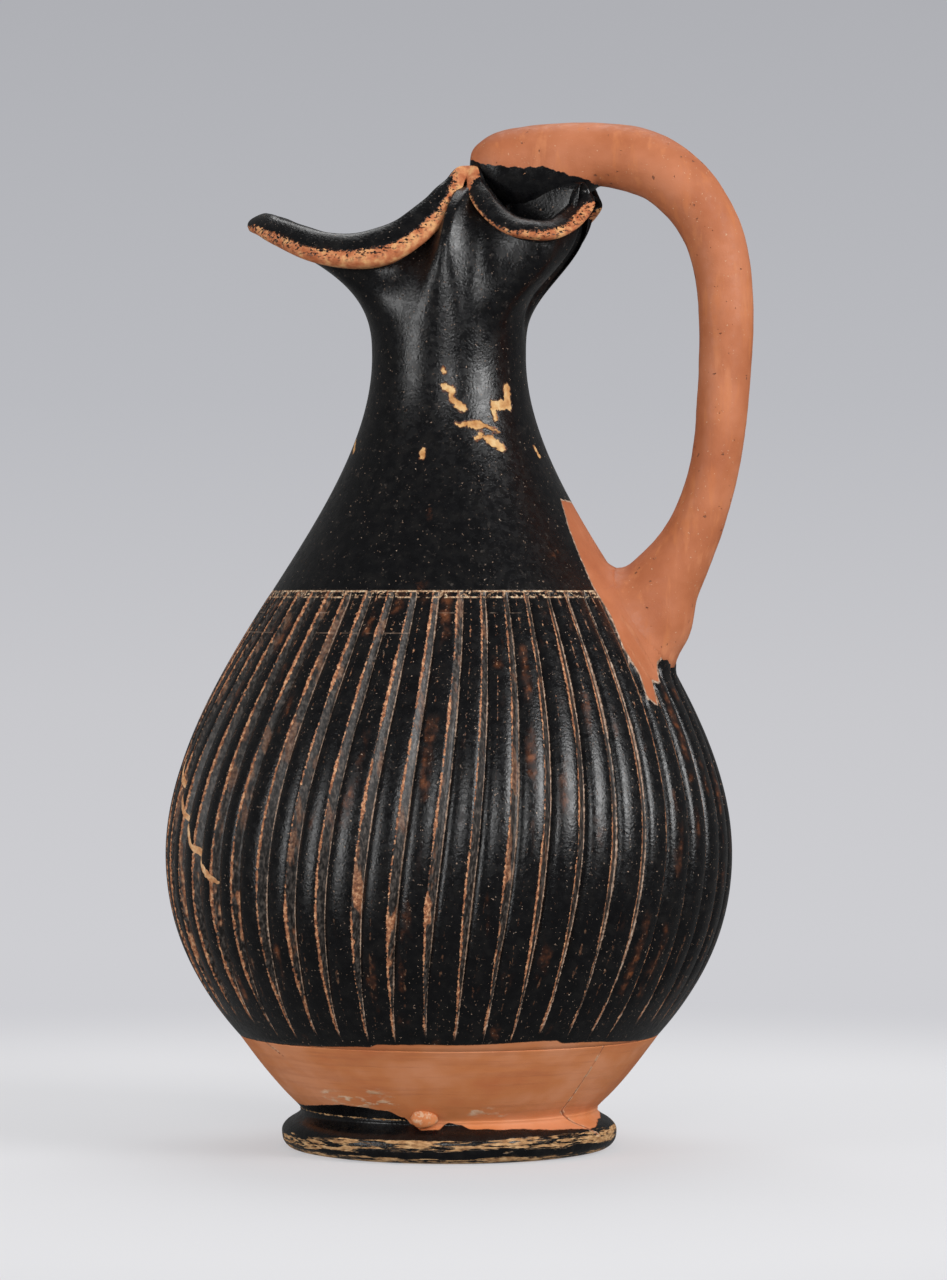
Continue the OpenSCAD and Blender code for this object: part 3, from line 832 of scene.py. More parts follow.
@dataclass(frozen=True)
class SwungHandle:
    """The high-swung handle: the restorer's terracotta on the old black root.

    Attributes:
        plan: Its route and section.
        sides: Points round its section.
        root_depth: How far the old root hangs into the back of the mouth.
        root_span: Where along x the root hangs.
        root_low: Height over which the handle has that root.
    """

    plan: HandlePlan
    fillet: RootFillet
    sides: int = 56
    root_depth: float = 6.0
    root_span: tuple[float, float] = (6.0, 30.8)
    root_low: float = 190.0
    # The hand's hollows, wide and narrow: depth in millimetres and turns in a millimetre
    hollows = ((0.12, 0.16), (0.05, 0.6))

    def hang(self, x: float, z: float) -> float:
        """Return how far the root hangs under the handle's oval at a place."""
        low, high = self.root_span
        share = (x - low) / (high - low)
        return 4 * self.root_depth * max(share * (1 - share), 0.0) if z > self.root_low else 0.0

    def stub_height(self, x: float) -> float:
        """Return the height of the broken edge, under which the old root is left."""
        edge = ((0, 197.4), (5.5, 197), (8.5, 195.8), (12, 195.7), (16, 195), (20, 195.3),
                (24, 194), (28, 192.9), (31.5, 191.6), (32.5, 180))
        for (low, a), (high, b) in zip(edge, edge[1:]):
            if x <= high:
                return a + (b - a) * (x - low) / (high - low)
        return 0.0

    def material(self) -> Material:
        """Return new terracotta with the black root under its broken edge."""
        surface = Surface("new_terracotta_rubbed_by_hand", NEW_TERRACOTTA)
        rubbed = surface.spots(2.2, 0.5, 0.68, 0.45, (1, 1, 0.15), detail=4, shift=0.2)
        surface.lay(BARE_CLAY, rubbed)
        surface.lay(DUSTY_CLAY, surface.spots(0.55, 0.69, 0.73, 0.6, detail=2, shift=0.4))
        # Painted shade in the pits, which are also sunk a little
        surface.lay(PIT_SHADE, surface.spots(1.8, 0.69, 0.72, 0.6, shift=0.5), -0.25)
        root = surface.inside("stub", 0.3, 1.8, 0.08)
        surface.lay(BLACK_GLOSS, root)
        chips = surface.spots(2.2, 0.69, 0.71, shift=0.6)
        surface.lay(EDGE_CLAY, surface.both(root, chips), -0.08)
        return surface.complete()

    def build(self) -> Object:
        """Make the handle as one tube, closed at both ends."""
        line = self.plan.line()
        last = len(line) - 1
        rings, stub = [], []
        for i, (x, z, thick, wide) in enumerate(line):
            before, after = line[max(i - 1, 0)], line[min(i + 1, last)]
            along = Vector((after[0] - before[0], after[1] - before[1])).normalized()
            ring = []
            for k in range(self.sides):
                turn = math.tau * k / self.sides
                below = self.hang(x, z) if math.cos(turn) > 0 else 0.0
                out = (thick + below) * math.cos(turn)
                point = (x + along.y * out, wide * math.sin(turn), z - along.x * out)
                hollow = sum(depth * noise.noise(Vector(point) * turns)
                             for depth, turns in self.hollows)
                normal = Vector((along.y * math.cos(turn) * wide, thick * math.sin(turn),
                                 -along.x * math.cos(turn) * wide)).normalized()
                point = tuple(Vector(point) + normal * (hollow - 0.1))
                if self.fillet.near(point):
                    point = self.fillet.settle(point, normal, Origin.HANDLE)
                ring.append(point)
                stub.append(self.stub_height(point[0]) - point[2])
            rings.append(ring)
        first, end = line[0], line[-1]
        form = RingForm("swung_handle", rings, {"stub": stub},
                        first_pole=(first[0], 0, first[1]), last_pole=(end[0], 0, end[1]))
        return form.build(self.material())


# The ribbed belly


@dataclass(frozen=True)
class RibCutter:
    """Geometry Nodes that cut the ribs into the smooth belly.

    Attributes:
        count: Ribs round the belly.
        depth: Depth of a groove.
        foot_rise: Height over the slip's edge at which the grooves start.
        slack: How far one groove starts above or below that.
        runout: Height over which the grooves run out at their foot.
        top_ease: Height over which they run out under the incised line.
        unevenness: How much one groove's depth differs from the next, as a share.
        seed: Seed of the unevenness.
    """

    count: int = 49
    depth: float = 1.3
    foot_rise: float = 1.8
    slack: float = 1.6
    runout: float = 18.0
    top_ease: float = 2.0
    unevenness: float = 0.22
    seed: int = 7

    # Across one rib: share of the pitch, and share of the depth cut there
    section = ((0, 1), (0.03, 0.8), (0.08, 0.52), (0.16, 0.24), (0.28, 0.04), (0.42, -0.07),
               (0.56, -0.1), (0.68, -0.05), (0.755, 0.06), (0.84, 0.42), (0.92, 0.78), (1, 1))
    lowest_share = -0.12

    def tree(self) -> NodeTree:
        """Return the tree that moves each point inwards by its place across its rib."""
        tree = bpy.data.node_groups.new("cut_ribs", "GeometryNodeTree")
        sockets = tree.interface
        sockets.new_socket("Geometry", in_out="INPUT", socket_type="NodeSocketGeometry")
        for name in ("Depth", "Foot", "Run-out", "Top", "Top ease", "Unevenness"):
            sockets.new_socket(name, in_out="INPUT", socket_type="NodeSocketFloat")
        sockets.new_socket("Seed", in_out="INPUT", socket_type="NodeSocketInt")
        sockets.new_socket("Finish", in_out="INPUT", socket_type="NodeSocketMaterial")
        sockets.new_socket("Geometry", in_out="OUTPUT", socket_type="NodeSocketGeometry")
        given = add_node(tree, "NodeGroupInput").outputs
        phase, number, open_share = (add_node(tree, "GeometryNodeInputNamedAttribute", name)
                                     for name in ("rib_phase", "rib_number", "rib_share"))

        def drawn(reach: float) -> Node:
            """Return a value drawn for each rib, from -reach to reach."""
            return add_node(tree, "FunctionNodeRandomValue", -reach, reach, number,
                            given["Seed"], data_type="FLOAT")

        curve = add_node(tree, "ShaderNodeFloatCurve", 1.0, phase)
        points = curve.mapping.curves[0].points
        while len(points) < len(self.section):
            points.new(0.5, 0.5)
        span = 1 - self.lowest_share
        for point, (place, share) in zip(points, self.section):
            point.location = (place, (share - self.lowest_share) / span)
            point.handle_type = "AUTO_CLAMPED"
        curve.mapping.update()
        share = calc(tree, "MULTIPLY_ADD", curve, span, self.lowest_share)
        place = add_node(tree, "GeometryNodeInputPosition")
        apart = add_node(tree, "ShaderNodeSeparateXYZ", place)
        height = apart.outputs["Z"]
        foot = calc(tree, "ADD", given["Foot"], drawn(self.slack * MM))
        full = calc(tree, "ADD", foot, given["Run-out"])
        rise = add_node(tree, "ShaderNodeMapRange", height, foot, full, 0, 1,
                        interpolation_type="SMOOTHSTEP")
        below = calc(tree, "SUBTRACT", given["Top"], given["Top ease"])
        fall = add_node(tree, "ShaderNodeMapRange", height, below, given["Top"], 1, 0)
        factor = calc(tree, "MULTIPLY_ADD", drawn(1.0), given["Unevenness"], 1.0)
        free = calc(tree, "MULTIPLY", calc(tree, "MULTIPLY", rise, fall), open_share)
        depth = calc(tree, "MULTIPLY", given["Depth"], factor)
        inward = calc(tree, "MULTIPLY", calc(tree, "MULTIPLY", share, free), depth)
        level = add_node(tree, "ShaderNodeVectorMath", place, (1.0, 1.0, 0.0),
                         operation="MULTIPLY")
        radial = add_node(tree, "ShaderNodeVectorMath", level, operation="NORMALIZE")
        back = calc(tree, "MULTIPLY", inward, -1.0)
        offset = add_node(tree, "ShaderNodeVectorMath", radial, operation="SCALE")
        tree.links.new(back.outputs[0], offset.inputs["Scale"])
        moved = add_node(tree, "GeometryNodeSetPosition",
                         named={"Geometry": given["Geometry"], "Offset": offset})
        kept = add_node(tree, "GeometryNodeStoreNamedAttribute",
                        named={"Geometry": moved, "Name": "groove_cut", "Value": free},
                        data_type="FLOAT", domain="POINT")
        whole = add_node(tree, "GeometryNodeRealizeInstances", kept)
        dressed = add_node(tree, "GeometryNodeSetMaterial",
                           named={"Geometry": whole, "Material": given["Finish"]})
        add_node(tree, "NodeGroupOutput", dressed)
        return tree

    def cut(self, shell: Object, profile: ThrownProfile,
            material: Material) -> Object:
        """Cut the ribs into a smooth shell.

        Args:
            shell: The smooth belly, which is used up.
            profile: The thrown profile, for the heights where the ribs end.
            material: The belly's finish.

        Returns:
            The ribbed belly as a plain mesh.
        """
        modifier = shell.modifiers.new("ribs", "NODES")
        modifier.node_group = self.tree()
        values = {"Depth": self.depth * MM, "Foot": (profile.band + self.foot_rise) * MM,
                  "Run-out": self.runout * MM, "Top": profile.shoulder * MM,
                  "Top ease": self.top_ease * MM, "Unevenness": self.unevenness,
                  "Seed": self.seed, "Finish": material}
        for socket in modifier.node_group.interface.items_tree:
            if socket.in_out == "INPUT" and socket.name in values:
                modifier[socket.identifier] = values[socket.name]
        graph = bpy.context.evaluated_depsgraph_get()
        mesh = bpy.data.meshes.new_from_object(shell.evaluated_get(graph))
        shell.modifiers.remove(modifier)
        name = shell.name
        bpy.data.objects.remove(shell)
        mesh.name = name
        return add_object(name, mesh)


@dataclass(frozen=True)
class RibbedBelly:
    """The black-gloss belly with its hand-cut ribs."""

    profile: ThrownProfile
    marks: WallMarks
    fillet: RootFillet
    cutter: RibCutter = RibCutter()
    rows: int = 104
    inner_rows: int = 10
    # Shares of a rib where the mesh has a column: close together at its crease and its edge
    columns = (0, 0.02, 0.06, 0.12, 0.2, 0.3, 0.42, 0.55, 0.66, 0.735, 0.76, 0.82, 0.9, 0.97)
    worn_edge = 0.755
    # Where a line of small chips runs down each rib's face
    chipped_line = 0.34
    # Share of its full width that a groove's wall has, by height
    wall_width = ((24, 0.06), (31, 0.28), (40, 0.62), (52, 0.95), (60, 1.0))
    # The cutter's unsteady hand, slow and quick: degrees, change by rib and mm, and shift
    unsteady = ((0.9, 3.7, 0.014, 0.5), (0.12, 5.1, 0.11, 4.5))
    score_depth = 0.35
    chip_half_width = 0.35

    def crease(self, number: int, z: float) -> float:
        """Return the angle of a groove's crease, with the cutter's unsteady hand."""
        count = self.cutter.count
        place = number % count
        angle = 360 * number / count + self.profile.turn(z)
        for degrees, by_rib, by_height, shift in self.unsteady:
            angle += degrees * noise.noise(Vector((place * by_rib, z * by_height, shift)))
        return angle

    def place_across(self, phase: float, z: float) -> float:
        """Return a column's share of the way between two creases, the wall drawn in low down."""
        edge = 1 - (1 - self.worn_edge) * table_value(self.wall_width, z)
        if phase < self.worn_edge:
            return phase * edge / self.worn_edge
        return 1 - (1 - phase) * (1 - edge) / (1 - self.worn_edge)

    def angle_at(self, number: int, place: float, z: float) -> float:
        """Return the angle of a place across a rib, between its two creases."""
        low, high = self.crease(number, z), self.crease(number + 1, z)
        return low + (high - low) * place

    def material(self) -> Material:
        """Return black gloss with the wear of the ribs, a painted sheen on their grooves' walls, the
        patch and the bare clay.
        """
        surface = Surface("attic_black_gloss_on_ribs", BLACK_GLOSS)
        cut = groove_mask(surface)
        smears = surface.spots(9, 0.55, 0.68, 0.7, (1, 1, 0.35), shift=0.7)
        surface.lay(THIN_SLIP, surface.both(surface.inside("chipped_line", 0.3, 3, 0.6, grow=0.5),
                                            smears))
        surface.lay(PALE_EDGE, surface.spots(0.5, 0.68, 0.72, 0.75, detail=2, shift=0.25))
        chips = surface.both(surface.inside("chipped_line", 0.12, 0.6, 0.06, grow=-0.12),
                             surface.spots(0.9, 0.54, 0.58, 1, (1, 1, 0.5), shift=0.45))
        high_up = surface.spread(surface.level(), 0.07, 0.1, 0.2, 1)
        surface.lay(EDGE_CLAY, surface.both(surface.both(chips, high_up), cut), -0.04)
        # The grooves' walls: thin grey-brown slip, with a painted sheen in its paler greys
        wall = surface.both(surface.inside("groove_wall", 0.05, 0.8, 0.1), cut)
        surface.lay(RUBBED_SLIP_AND_SHEEN, wall)
        low_down = surface.spread(surface.level(), 0.066, 0.05, 0.3, 1)
        worn = surface.spots(4, 0.56, 0.62, 0.9, (1, 1, 0.3), shift=0.35)
        surface.lay(EDGE_CLAY, surface.both(wall, surface.both(low_down, worn)))
        lay_edge(surface, "worn_edge", EDGE_CLAY, 0.34, 0.66, 0.3)
        lay_edge(surface, "crisp_edge", PALE_EDGE, 0.32, 0.66, 0.15)
        self.lay_incised_line(surface)
        lay_bare_foot(surface)
        lay_patch(surface)
        return surface.complete()

    def lay_incised_line(self, surface: Surface) -> None:
        """Lay the pale double line under the shoulder, and the scratches below it."""
        top = self.profile.shoulder
        scratch = surface.spots(9, 0.52, 0.58, 0.35, shift=0.65)
        for drop in (4.4, 8.3):
            surface.lay(PALE_EDGE, surface.both(surface.around(top - drop, 0.12), scratch))
        # The crumbs between the lines, then each line: drop, half width, and its breaks
        for drop, half, size, low, high, shift in (
                (0.8, 0.8, 0.7, 0.55, 0.6, 0.75), (0.22, 0.22, 1.4, 0.38, 0.48, 0.85),
                (1.4, 0.2, 1.2, 0.46, 0.54, 0.95)):
            mask = surface.both(surface.around(top - drop, half),
                                surface.spots(size, low, high, shift=shift))
            surface.lay(LINE_CLAY, mask, -0.05)

    def build(self) -> Object:
        """Make the smooth shell and cut the ribs into it."""
        profile, marks = self.profile, self.marks
        columns = [(number, phase) for number in range(self.cutter.count)
                   for phase in self.columns]
        outer = between(profile.band, profile.shoulder, self.rows)
        outer.insert(-1, profile.shoulder - profile.seam_row)
        inner = between(profile.shoulder, profile.band, self.inner_rows)
        names = ("rib_phase", "rib_number", "rib_share", "worn_edge", "crisp_edge",
                 "chipped_line", "groove_wall", "patch", "score", "slip")
        widest = max(profile.radius(z) for z in outer)
        fields: dict[str, list[float]] = {name: [] for name in names}
        rings = []
        for row, z in enumerate(outer + inner):
            outside = row < len(outer)
            radius = profile.radius(z) if outside else profile.inner(z)
            pitch = math.tau * radius / self.cutter.count
            shallower = (profile.radius(z) / widest) ** 0.8
            edge = self.place_across(self.worn_edge, z)
            ring = []
            for number, phase in columns:
                place = self.place_across(phase, z)
                angle = self.angle_at(number, place, z)
                point, patch, score = (
                    place_on_wall(marks, self.fillet, angle, z, self.score_depth) if outside
                    else (polar(radius, math.radians(angle), z), FAR_OUTSIDE, FAR_OUTSIDE))
                ring.append(point)
                from_edge = abs(place - edge)
                from_chips = abs(place - self.chipped_line)
                after_worn = (place if phase > 0.4 else place + 1) - edge
                row_values = {
                    "rib_phase": phase, "rib_number": float(number),
                    "rib_share": (1 - smooth(-0.9, 0.2, patch)) * shallower if outside else 0.0,
                    "worn_edge": min(from_edge, 1 - from_edge) * pitch,
                    "crisp_edge": min(place, 1 - place) * pitch,
                    "chipped_line": (self.chip_half_width
                                     - min(from_chips, 1 - from_chips) * pitch),
                    "groove_wall": min(after_worn, 1 - edge - after_worn) * pitch,
                    "patch": patch, "score": score,
                    "slip": marks.slip_height(wrapped(angle)) - z}
                for name, value in row_values.items():
                    fields[name].append(value)
            rings.append(ring)
        shell = RingForm("ribbed_belly_wall", rings, fields, joined=True).build()
        return self.cutter.cut(shell, profile, self.material())


def groove_mask(surface: Surface) -> Node:
    """Return a mask of where the ribs are cut."""
    return surface.spread(surface.field("groove_cut"), 0.005, 0.06)


def lay_edge(surface: Surface, field: str, finish: Finish, low: float, high: float,
             width: float) -> None:
    """Lay a finish in a broken line along the edges of the ribs.

    Args:
        surface: The surface that gets it.
        field: The field that holds the distance from the edge in millimetres.
        finish: The finish of the line.
        low: Value of the cloudy pattern at which the line has no width.
        high: Value at which it has its whole width.
        width: Half the whole width in millimetres.
    """
    tree = surface.tree
    wide = surface.spots(7, low, high, width, (1, 1, 0.5), detail=4, shift=0.9)
    nearer = calc(tree, "SUBTRACT", wide, surface.field(field))
    ragged = calc(tree, "ADD", surface.pattern(0.55, shift=0.4), -0.5)
    edge = calc(tree, "MULTIPLY_ADD", ragged, 3 * width, nearer)
    surface.lay(finish, surface.both(surface.spread(edge, -0.05, 0.05), groove_mask(surface)))


def lay_patch(surface: Surface) -> None:
    """Lay the restorer's patch with its pale edge and its scored lines."""
    surface.lay(PALE_EDGE, surface.inside("patch", 0.2, 1.0, 0.15))
    pale_width = 0.35
    rim = calc(surface.tree, "ADD", surface.field("patch"), -pale_width)
    surface.lay(NEW_TERRACOTTA, surface.spread(rim, -0.1, 0.1), -0.1)
    surface.lay(BRUSHED_CLAY, surface.spread(surface.field("score"), -0.2, 0.2, 0, 0.8))


def lay_bare_foot(surface: Surface) -> None:
    """Lay bare clay under the slip's edge, with the fine level lines of the brush."""
    clay = surface.inside("slip", 0.06, 2.2, 0.1)
    surface.lay(BARE_CLAY, clay, -0.06)
    lines = surface.spots(1.1, 0.45, 0.68, 0.3, (0.05, 0.05, 1), shift=0.15)
    surface.lay(BRUSHED_CLAY, surface.both(clay, lines))


def lay_crack(surface: Surface) -> None:
    """Lay the hair crack in the bare clay, with its pale crumbled sides and the painted shade inside
    it.
    """
    crumbled = surface.spots(1.5, 0.46, 0.56, 0.7, shift=0.85)
    sides = surface.inside("crack", 0.06, 0.8, 0.1, grow=0.2)
    surface.lay(DUSTY_CLAY, surface.both(sides, crumbled))
    # The crack itself: reddish clay, darker as painted shade
    surface.lay(CRACK_CLAY_AND_SHADE, surface.inside("crack", 0.03, 0.8, 0.1), -0.08)


# The neck and mouth


@dataclass(frozen=True)
class NeckAndMouth:
    """The smooth shoulder and neck, and the mouth pinched into a spout and two lobes.

    Attributes:
        profile: The thrown profile.
        marks: What lies on the wall.
        fillet: The handle's root, which the neck is drawn out to.
        spout_reach: How far the spout reaches in front of the axis.
        spout_half_width: Half the width of the spout.
        lobe_half_width: Half the width across the side lobes.
        lobe_reach: How far the lobes reach behind the axis.
        pinch_height: Height of the rim at the pinches.
        rim_dip: How far the rim dips in the middle of the spout.
        tip_height: Height of the rim at the spout's tip.
        lobe_difference: How much flatter the far lobe is than the near one.
        lip_width: Width of the sloping face of the lip.
        tip_fullness: How far the lip's face swells out at the spout's tip, as a share of it.
        tip_span: Degrees on each side of the tip over which the swelling fades.
        steps: Columns between two stations of the rim.
        neck_rows: Rows of faces from the shoulder's seam to the neck.
        wall_rows: Rows from the neck to the lip.
        inner_rows: Rows inside, from the lip to the neck.
        inner_neck_rows: Rows inside, from the neck to the seam.
    """

    profile: ThrownProfile
    marks: WallMarks
    fillet: RootFillet
    spout_reach: float = 41.2
    spout_half_width: float = 18.0
    lobe_half_width: float = 16.4
    lobe_reach: float = 30.8
    pinch_height: float = 193.6
    rim_dip: float = 17.0
    tip_height: float = 184.3
    lobe_difference: float = 2.4
    lip_width: float = 3.6
    tip_fullness: float = 0.25
    tip_span: float = 14.0
    steps: int = 10
    neck_rows: int = 96
    wall_rows: int = 46
    inner_rows: int = 22
    inner_neck_rows: int = 14

    # The lip's section: share of its width inwards, share of its rise upwards
    lip_section = ((0.9, -0.3), (0.25, -0.28), (0, -0.06), (0.08, 0.2), (0.45, 0.68),
                   (0.95, 1), (1.4, 0.82), (1.65, 0.25), (1.74, -0.35))
    # Width in millimetres of the worn band on the lip, by station of the near half
    worn_lip = ((0, 1.2), (1.5, 2.2), (3, 2.9), (5, 3.8), (7, 4.4), (8, 4.4), (9, 6.5), (9.5, 6.0),
                (10.2, 1.2), (12.5, 1.0), (14, 1.7), (15, 2.3), (16.2, 2.9), (16.9, 1.6),
                (17.1, -1), (19, -2))

    def rim_stations(self) -> list[tuple[float, ...]]:
        """Return the rim's stations, from the spout's tip round its near side.

        Each is x, y, height, angle on the neck, share of the lip's width, rise of the
        lip and fullness of the wall.
        """
        reach, wide, side = self.spout_reach, self.spout_half_width, self.lobe_half_width
        back, pinch, tip = self.lobe_reach, self.pinch_height, self.tip_height
        spout = pinch - self.rim_dip
        lobe = spout + 4.4
        crease = lobe + 7.2
        half = [
            (-reach, 0, tip, -180, 0.95, 0.85, 0),
            (2.9 - reach, -wide * 0.36, tip - 1, -171, 1, 0.95, 0),
            (6.9 - reach, -wide * 0.6, tip - 2.9, -164, 1.05, 1.1, 0),
            (15.4 - reach, -wide * 0.93, spout + 1.4, -152, 1.15, 1.35, 0),
            (24.2 - reach, -wide, spout, -137, 1.25, 1.5, 0),
            (-9.7, -wide * 0.94, spout + 0.7, -122, 1.25, 1.72, 0),
            (-4, -wide * 0.83, spout + 3.3, -110, 1.2, 1.75, 0),
            (0.9, -wide * 0.62, spout + 7.8, -99, 1.05, 1.55, -0.3),
            (3.4, -7.2, pinch - 4.4, -90, 0.75, 1.1, -0.8),
            (4.6, -5, pinch, -83, 0.5, 0.65, -1),
            (5.4, -7.2, pinch - 3.3, -76, 0.7, 0.75, -0.7),
            (8, -side * 0.68, lobe + 5.8, -68, 0.9, 0.85, 0),
            (11.8, -side * 0.86, lobe + 2.6, -60, 1, 0.88, 0.4),
            (16, -side * 0.97, lobe + 0.7, -52, 1, 0.88, 0.6),
            (back - 9.4, -side, lobe, -44, 1, 0.88, 0.9),
            (back - 5, -side * 0.82, lobe + 0.5, -35, 1, 0.88, 1),
            (back - 1.9, -side * 0.51, lobe + 3.2, -25, 1, 0.9, 1),
            (back - 0.4, -side * 0.25, crease, -15, 0.85, 0.8, 1),
            (back - 4, -2.2, crease + 2.2, -7, 0.55, 0.6, 0.8),
            (14, 0, crease + 3.2, 0, 0.5, 0.5, 0.6)]
        pulls = {14: 0.0, 15: 1.0, 16: 1.0}
        far = [(p[0] - self.lobe_difference * pulls.get(i, 0.0), -p[1], p[2], -p[3], *p[4:])
               for i, p in reversed(list(enumerate(half))) if 0 < i < len(half) - 1]
        return half + far

    def rim(self) -> list[tuple[float, ...]]:
        """Return the closed rim with steps columns between two stations."""
        stations = self.rim_stations()
        count = len(stations)

        def station(k: int) -> tuple[float, ...]:
            """Return a station, its angle growing past 180 on the next lap."""
            p = stations[k % count]
            return (*p[:3], p[3] + 360 * (k // count), *p[4:])

        return [through(station(k - 1), station(k), station(k + 1), station(k + 2), i / self.steps)
                for k in range(count) for i in range(self.steps)]

    def outward(self, rim: Rows) -> list[Vector]:
        """Return the outward normal of the rim's plan at each column."""
        count, reach = len(rim), max(self.steps // 3, 1)
        normals = []
        for i in range(count):
            a, b = rim[(i - reach) % count], rim[(i + reach) % count]
            normals.append(Vector((b[1] - a[1], a[0] - b[0], 0)).normalized())
        return normals

    @staticmethod
    def opening(t: float, fullness: float) -> float:
        """Return how far the wall has opened from neck to rim at a share t of its height."""
        flare, lobe_delay, pinch_delay = 2.65, 1.15, 3.0
        if fullness < 0:
            return t ** (flare - pinch_delay * fullness)
        s = t ** lobe_delay
        eased = 6 * s ** 5 - 15 * s ** 4 + 10 * s ** 3
        return (1 - fullness) * t ** flare + fullness * eased

    def wall_ring(self, rim: Rows, edge: Sequence[Point], t: float,
                  radius: float) -> list[Point]:
        """Return one ring of the mouth's wall.

        Args:
            rim: The rim's columns.
            edge: The ring of the lip that the wall reaches.
            t: Share of the height from the neck to the lip.
            radius: Radius of the wall at the neck.

        Returns:
            The ring's points.
        """
        neck = self.profile.neck
        ring = []
        for p, q in zip(rim, edge):
            g = self.opening(t, min(max(p[6], -1.0), 1.0))
            turn = math.radians(p[3])
            ring.append((radius * math.cos(turn) * (1 - g) + q[0] * g,
                         radius * math.sin(turn) * (1 - g) + q[1] * g,
                         neck + (q[2] - neck) * t))
        return ring

    def material(self) -> Material:
        """Return black gloss with its chips, its worn lip and the patch."""
        surface = Surface("attic_black_gloss_on_neck", BLACK_GLOSS)
        surface.lay(THIN_SLIP, surface.spots(8, 0.68, 0.76, 0.5, (1, 1, 0.7), shift=0.7))
        surface.lay(PALE_EDGE, surface.spots(0.55, 0.685, 0.72, 0.75, detail=2, shift=0.55))
        # Grey-brown spots in the finish of the grooves' walls, whose paler greys are a painted sheen
        surface.lay(RUBBED_SLIP_AND_SHEEN, surface.spots(1.6, 0.6, 0.68, 0.5, detail=5, shift=0.95))
        surface.lay(THIN_SLIP, surface.inside("worn_lip", 0.4, 0.8, 0.1, grow=0.22))
        surface.lay(LIP_CLAY, surface.inside("worn_lip", 0.4, 0.8, 0.06), -0.06)
        left = surface.spots(0.75, 0.54, 0.57, 1, (1, 1, 1.5), detail=4, shift=0.8)
        border = surface.spread(surface.field("worn_lip"), 2.8, 0.6)
        surface.lay(BLACK_GLOSS, surface.both(left, border))
        surface.lay(THIN_SLIP, surface.inside("chip", 0.35, 1.1, 0.15, grow=0.2))
        surface.lay(CHIPPED_CLAY, surface.inside("chip", 0.35, 1.1, 0.08), -0.12)
        lay_patch(surface)
        return surface.complete()

    def lip_rings(self, rim: Rows,
                  section: Rows) -> list[list[Point]]:
        """Return the lip's rings, one for each place of its section.

        Args:
            rim: The rim's columns.
            section: The lip's section, as shares of its width inwards and rise upwards.

        Returns:
            The rings, from the lip's outer edge over its top and in.
        """
        normals = self.outward(rim)
        rings = []
        for inward, upward in section:
            face = math.sin(math.pi * min(max(upward, 0), 1)) if inward < 1 else 0.0
            ring = []
            for p, n in zip(rim, normals):
                at_tip = 1 - smooth(0, self.tip_span, abs(abs(p[3]) - 180))
                across = (inward - self.tip_fullness * face * at_tip) * self.lip_width * p[4]
                ring.append((p[0] - n.x * across, p[1] - n.y * across,
                             p[2] + upward * self.lip_width * p[5]))
            rings.append(ring)
        return rings

    def lip_wear(self, place: float, rise: float, inward: float, upward: float) -> float:
        """Return the millimetres that a place on the lip lies inside its worn band.

        Args:
            place: Stations between it and the spout's tip.
            rise: The lip's rise there in millimetres.
            inward: Share of the lip's width that it lies inwards.
            upward: Share of the lip's rise that it lies upwards.

        Returns:
            The depth, negative outside.
        """
        climb = (upward + 0.3) * rise if inward < 1.1 else -FAR_OUTSIDE
        under = (inward - 0.3) * self.lip_width if upward < -0.2 else 0.0
        return table_value(self.worn_lip, place) - climb - max(under, 0) * 1.5

    def build(self) -> Object:
        """Make the shoulder, neck and mouth as one closed wall."""
        profile, marks = self.profile, self.marks
        rim = self.rim()
        section = smooth_line(self.lip_section, 4)
        lip = self.lip_rings(rim, section)
        heights = between(profile.shoulder, profile.neck, self.neck_rows)[:-1]
        heights.insert(1, profile.shoulder + profile.seam_row)
        fields: dict[str, list[float]] = {name: [] for name in ("patch", "score", "chip")}
        rings = []
        for z in heights:
            ring = []
            for p in rim:
                point, patch, score = place_on_wall(marks, self.fillet, p[3], z)
                ring.append(point)
                fields["patch"].append(patch)
                fields["score"].append(score)
                fields["chip"].append(marks.chip_depth(wrapped(p[3]), z))
            rings.append(ring)
        rings += [self.wall_ring(rim, lip[0], i / self.wall_rows, profile.neck_radius)
                  for i in range(self.wall_rows)]
        worn = [FAR_OUTSIDE] * (len(rings) * len(rim))
        rings += lip
        rings += [self.wall_ring(rim, lip[-1], i / self.inner_rows,
                                 profile.neck_radius - profile.wall)
                  for i in reversed(range(self.inner_rows))]
        rings += [[polar(profile.inner(z), math.radians(p[3]), z) for p in rim]
                  for z in between(profile.neck, profile.shoulder, self.inner_neck_rows)[1:]]
        all_round = len(self.rim_stations())
        for inward, upward in section:
            for i, p in enumerate(rim):
                place = min(i / self.steps, all_round - i / self.steps)
                worn.append(self.lip_wear(place, p[5] * self.lip_width, inward, upward))
        fields["worn_lip"] = worn
        for values in fields.values():
            values += [FAR_OUTSIDE] * (len(rings) * len(rim) - len(values))
        return RingForm("neck_and_mouth", rings, fields, joined=True).build(self.material())


# The foot


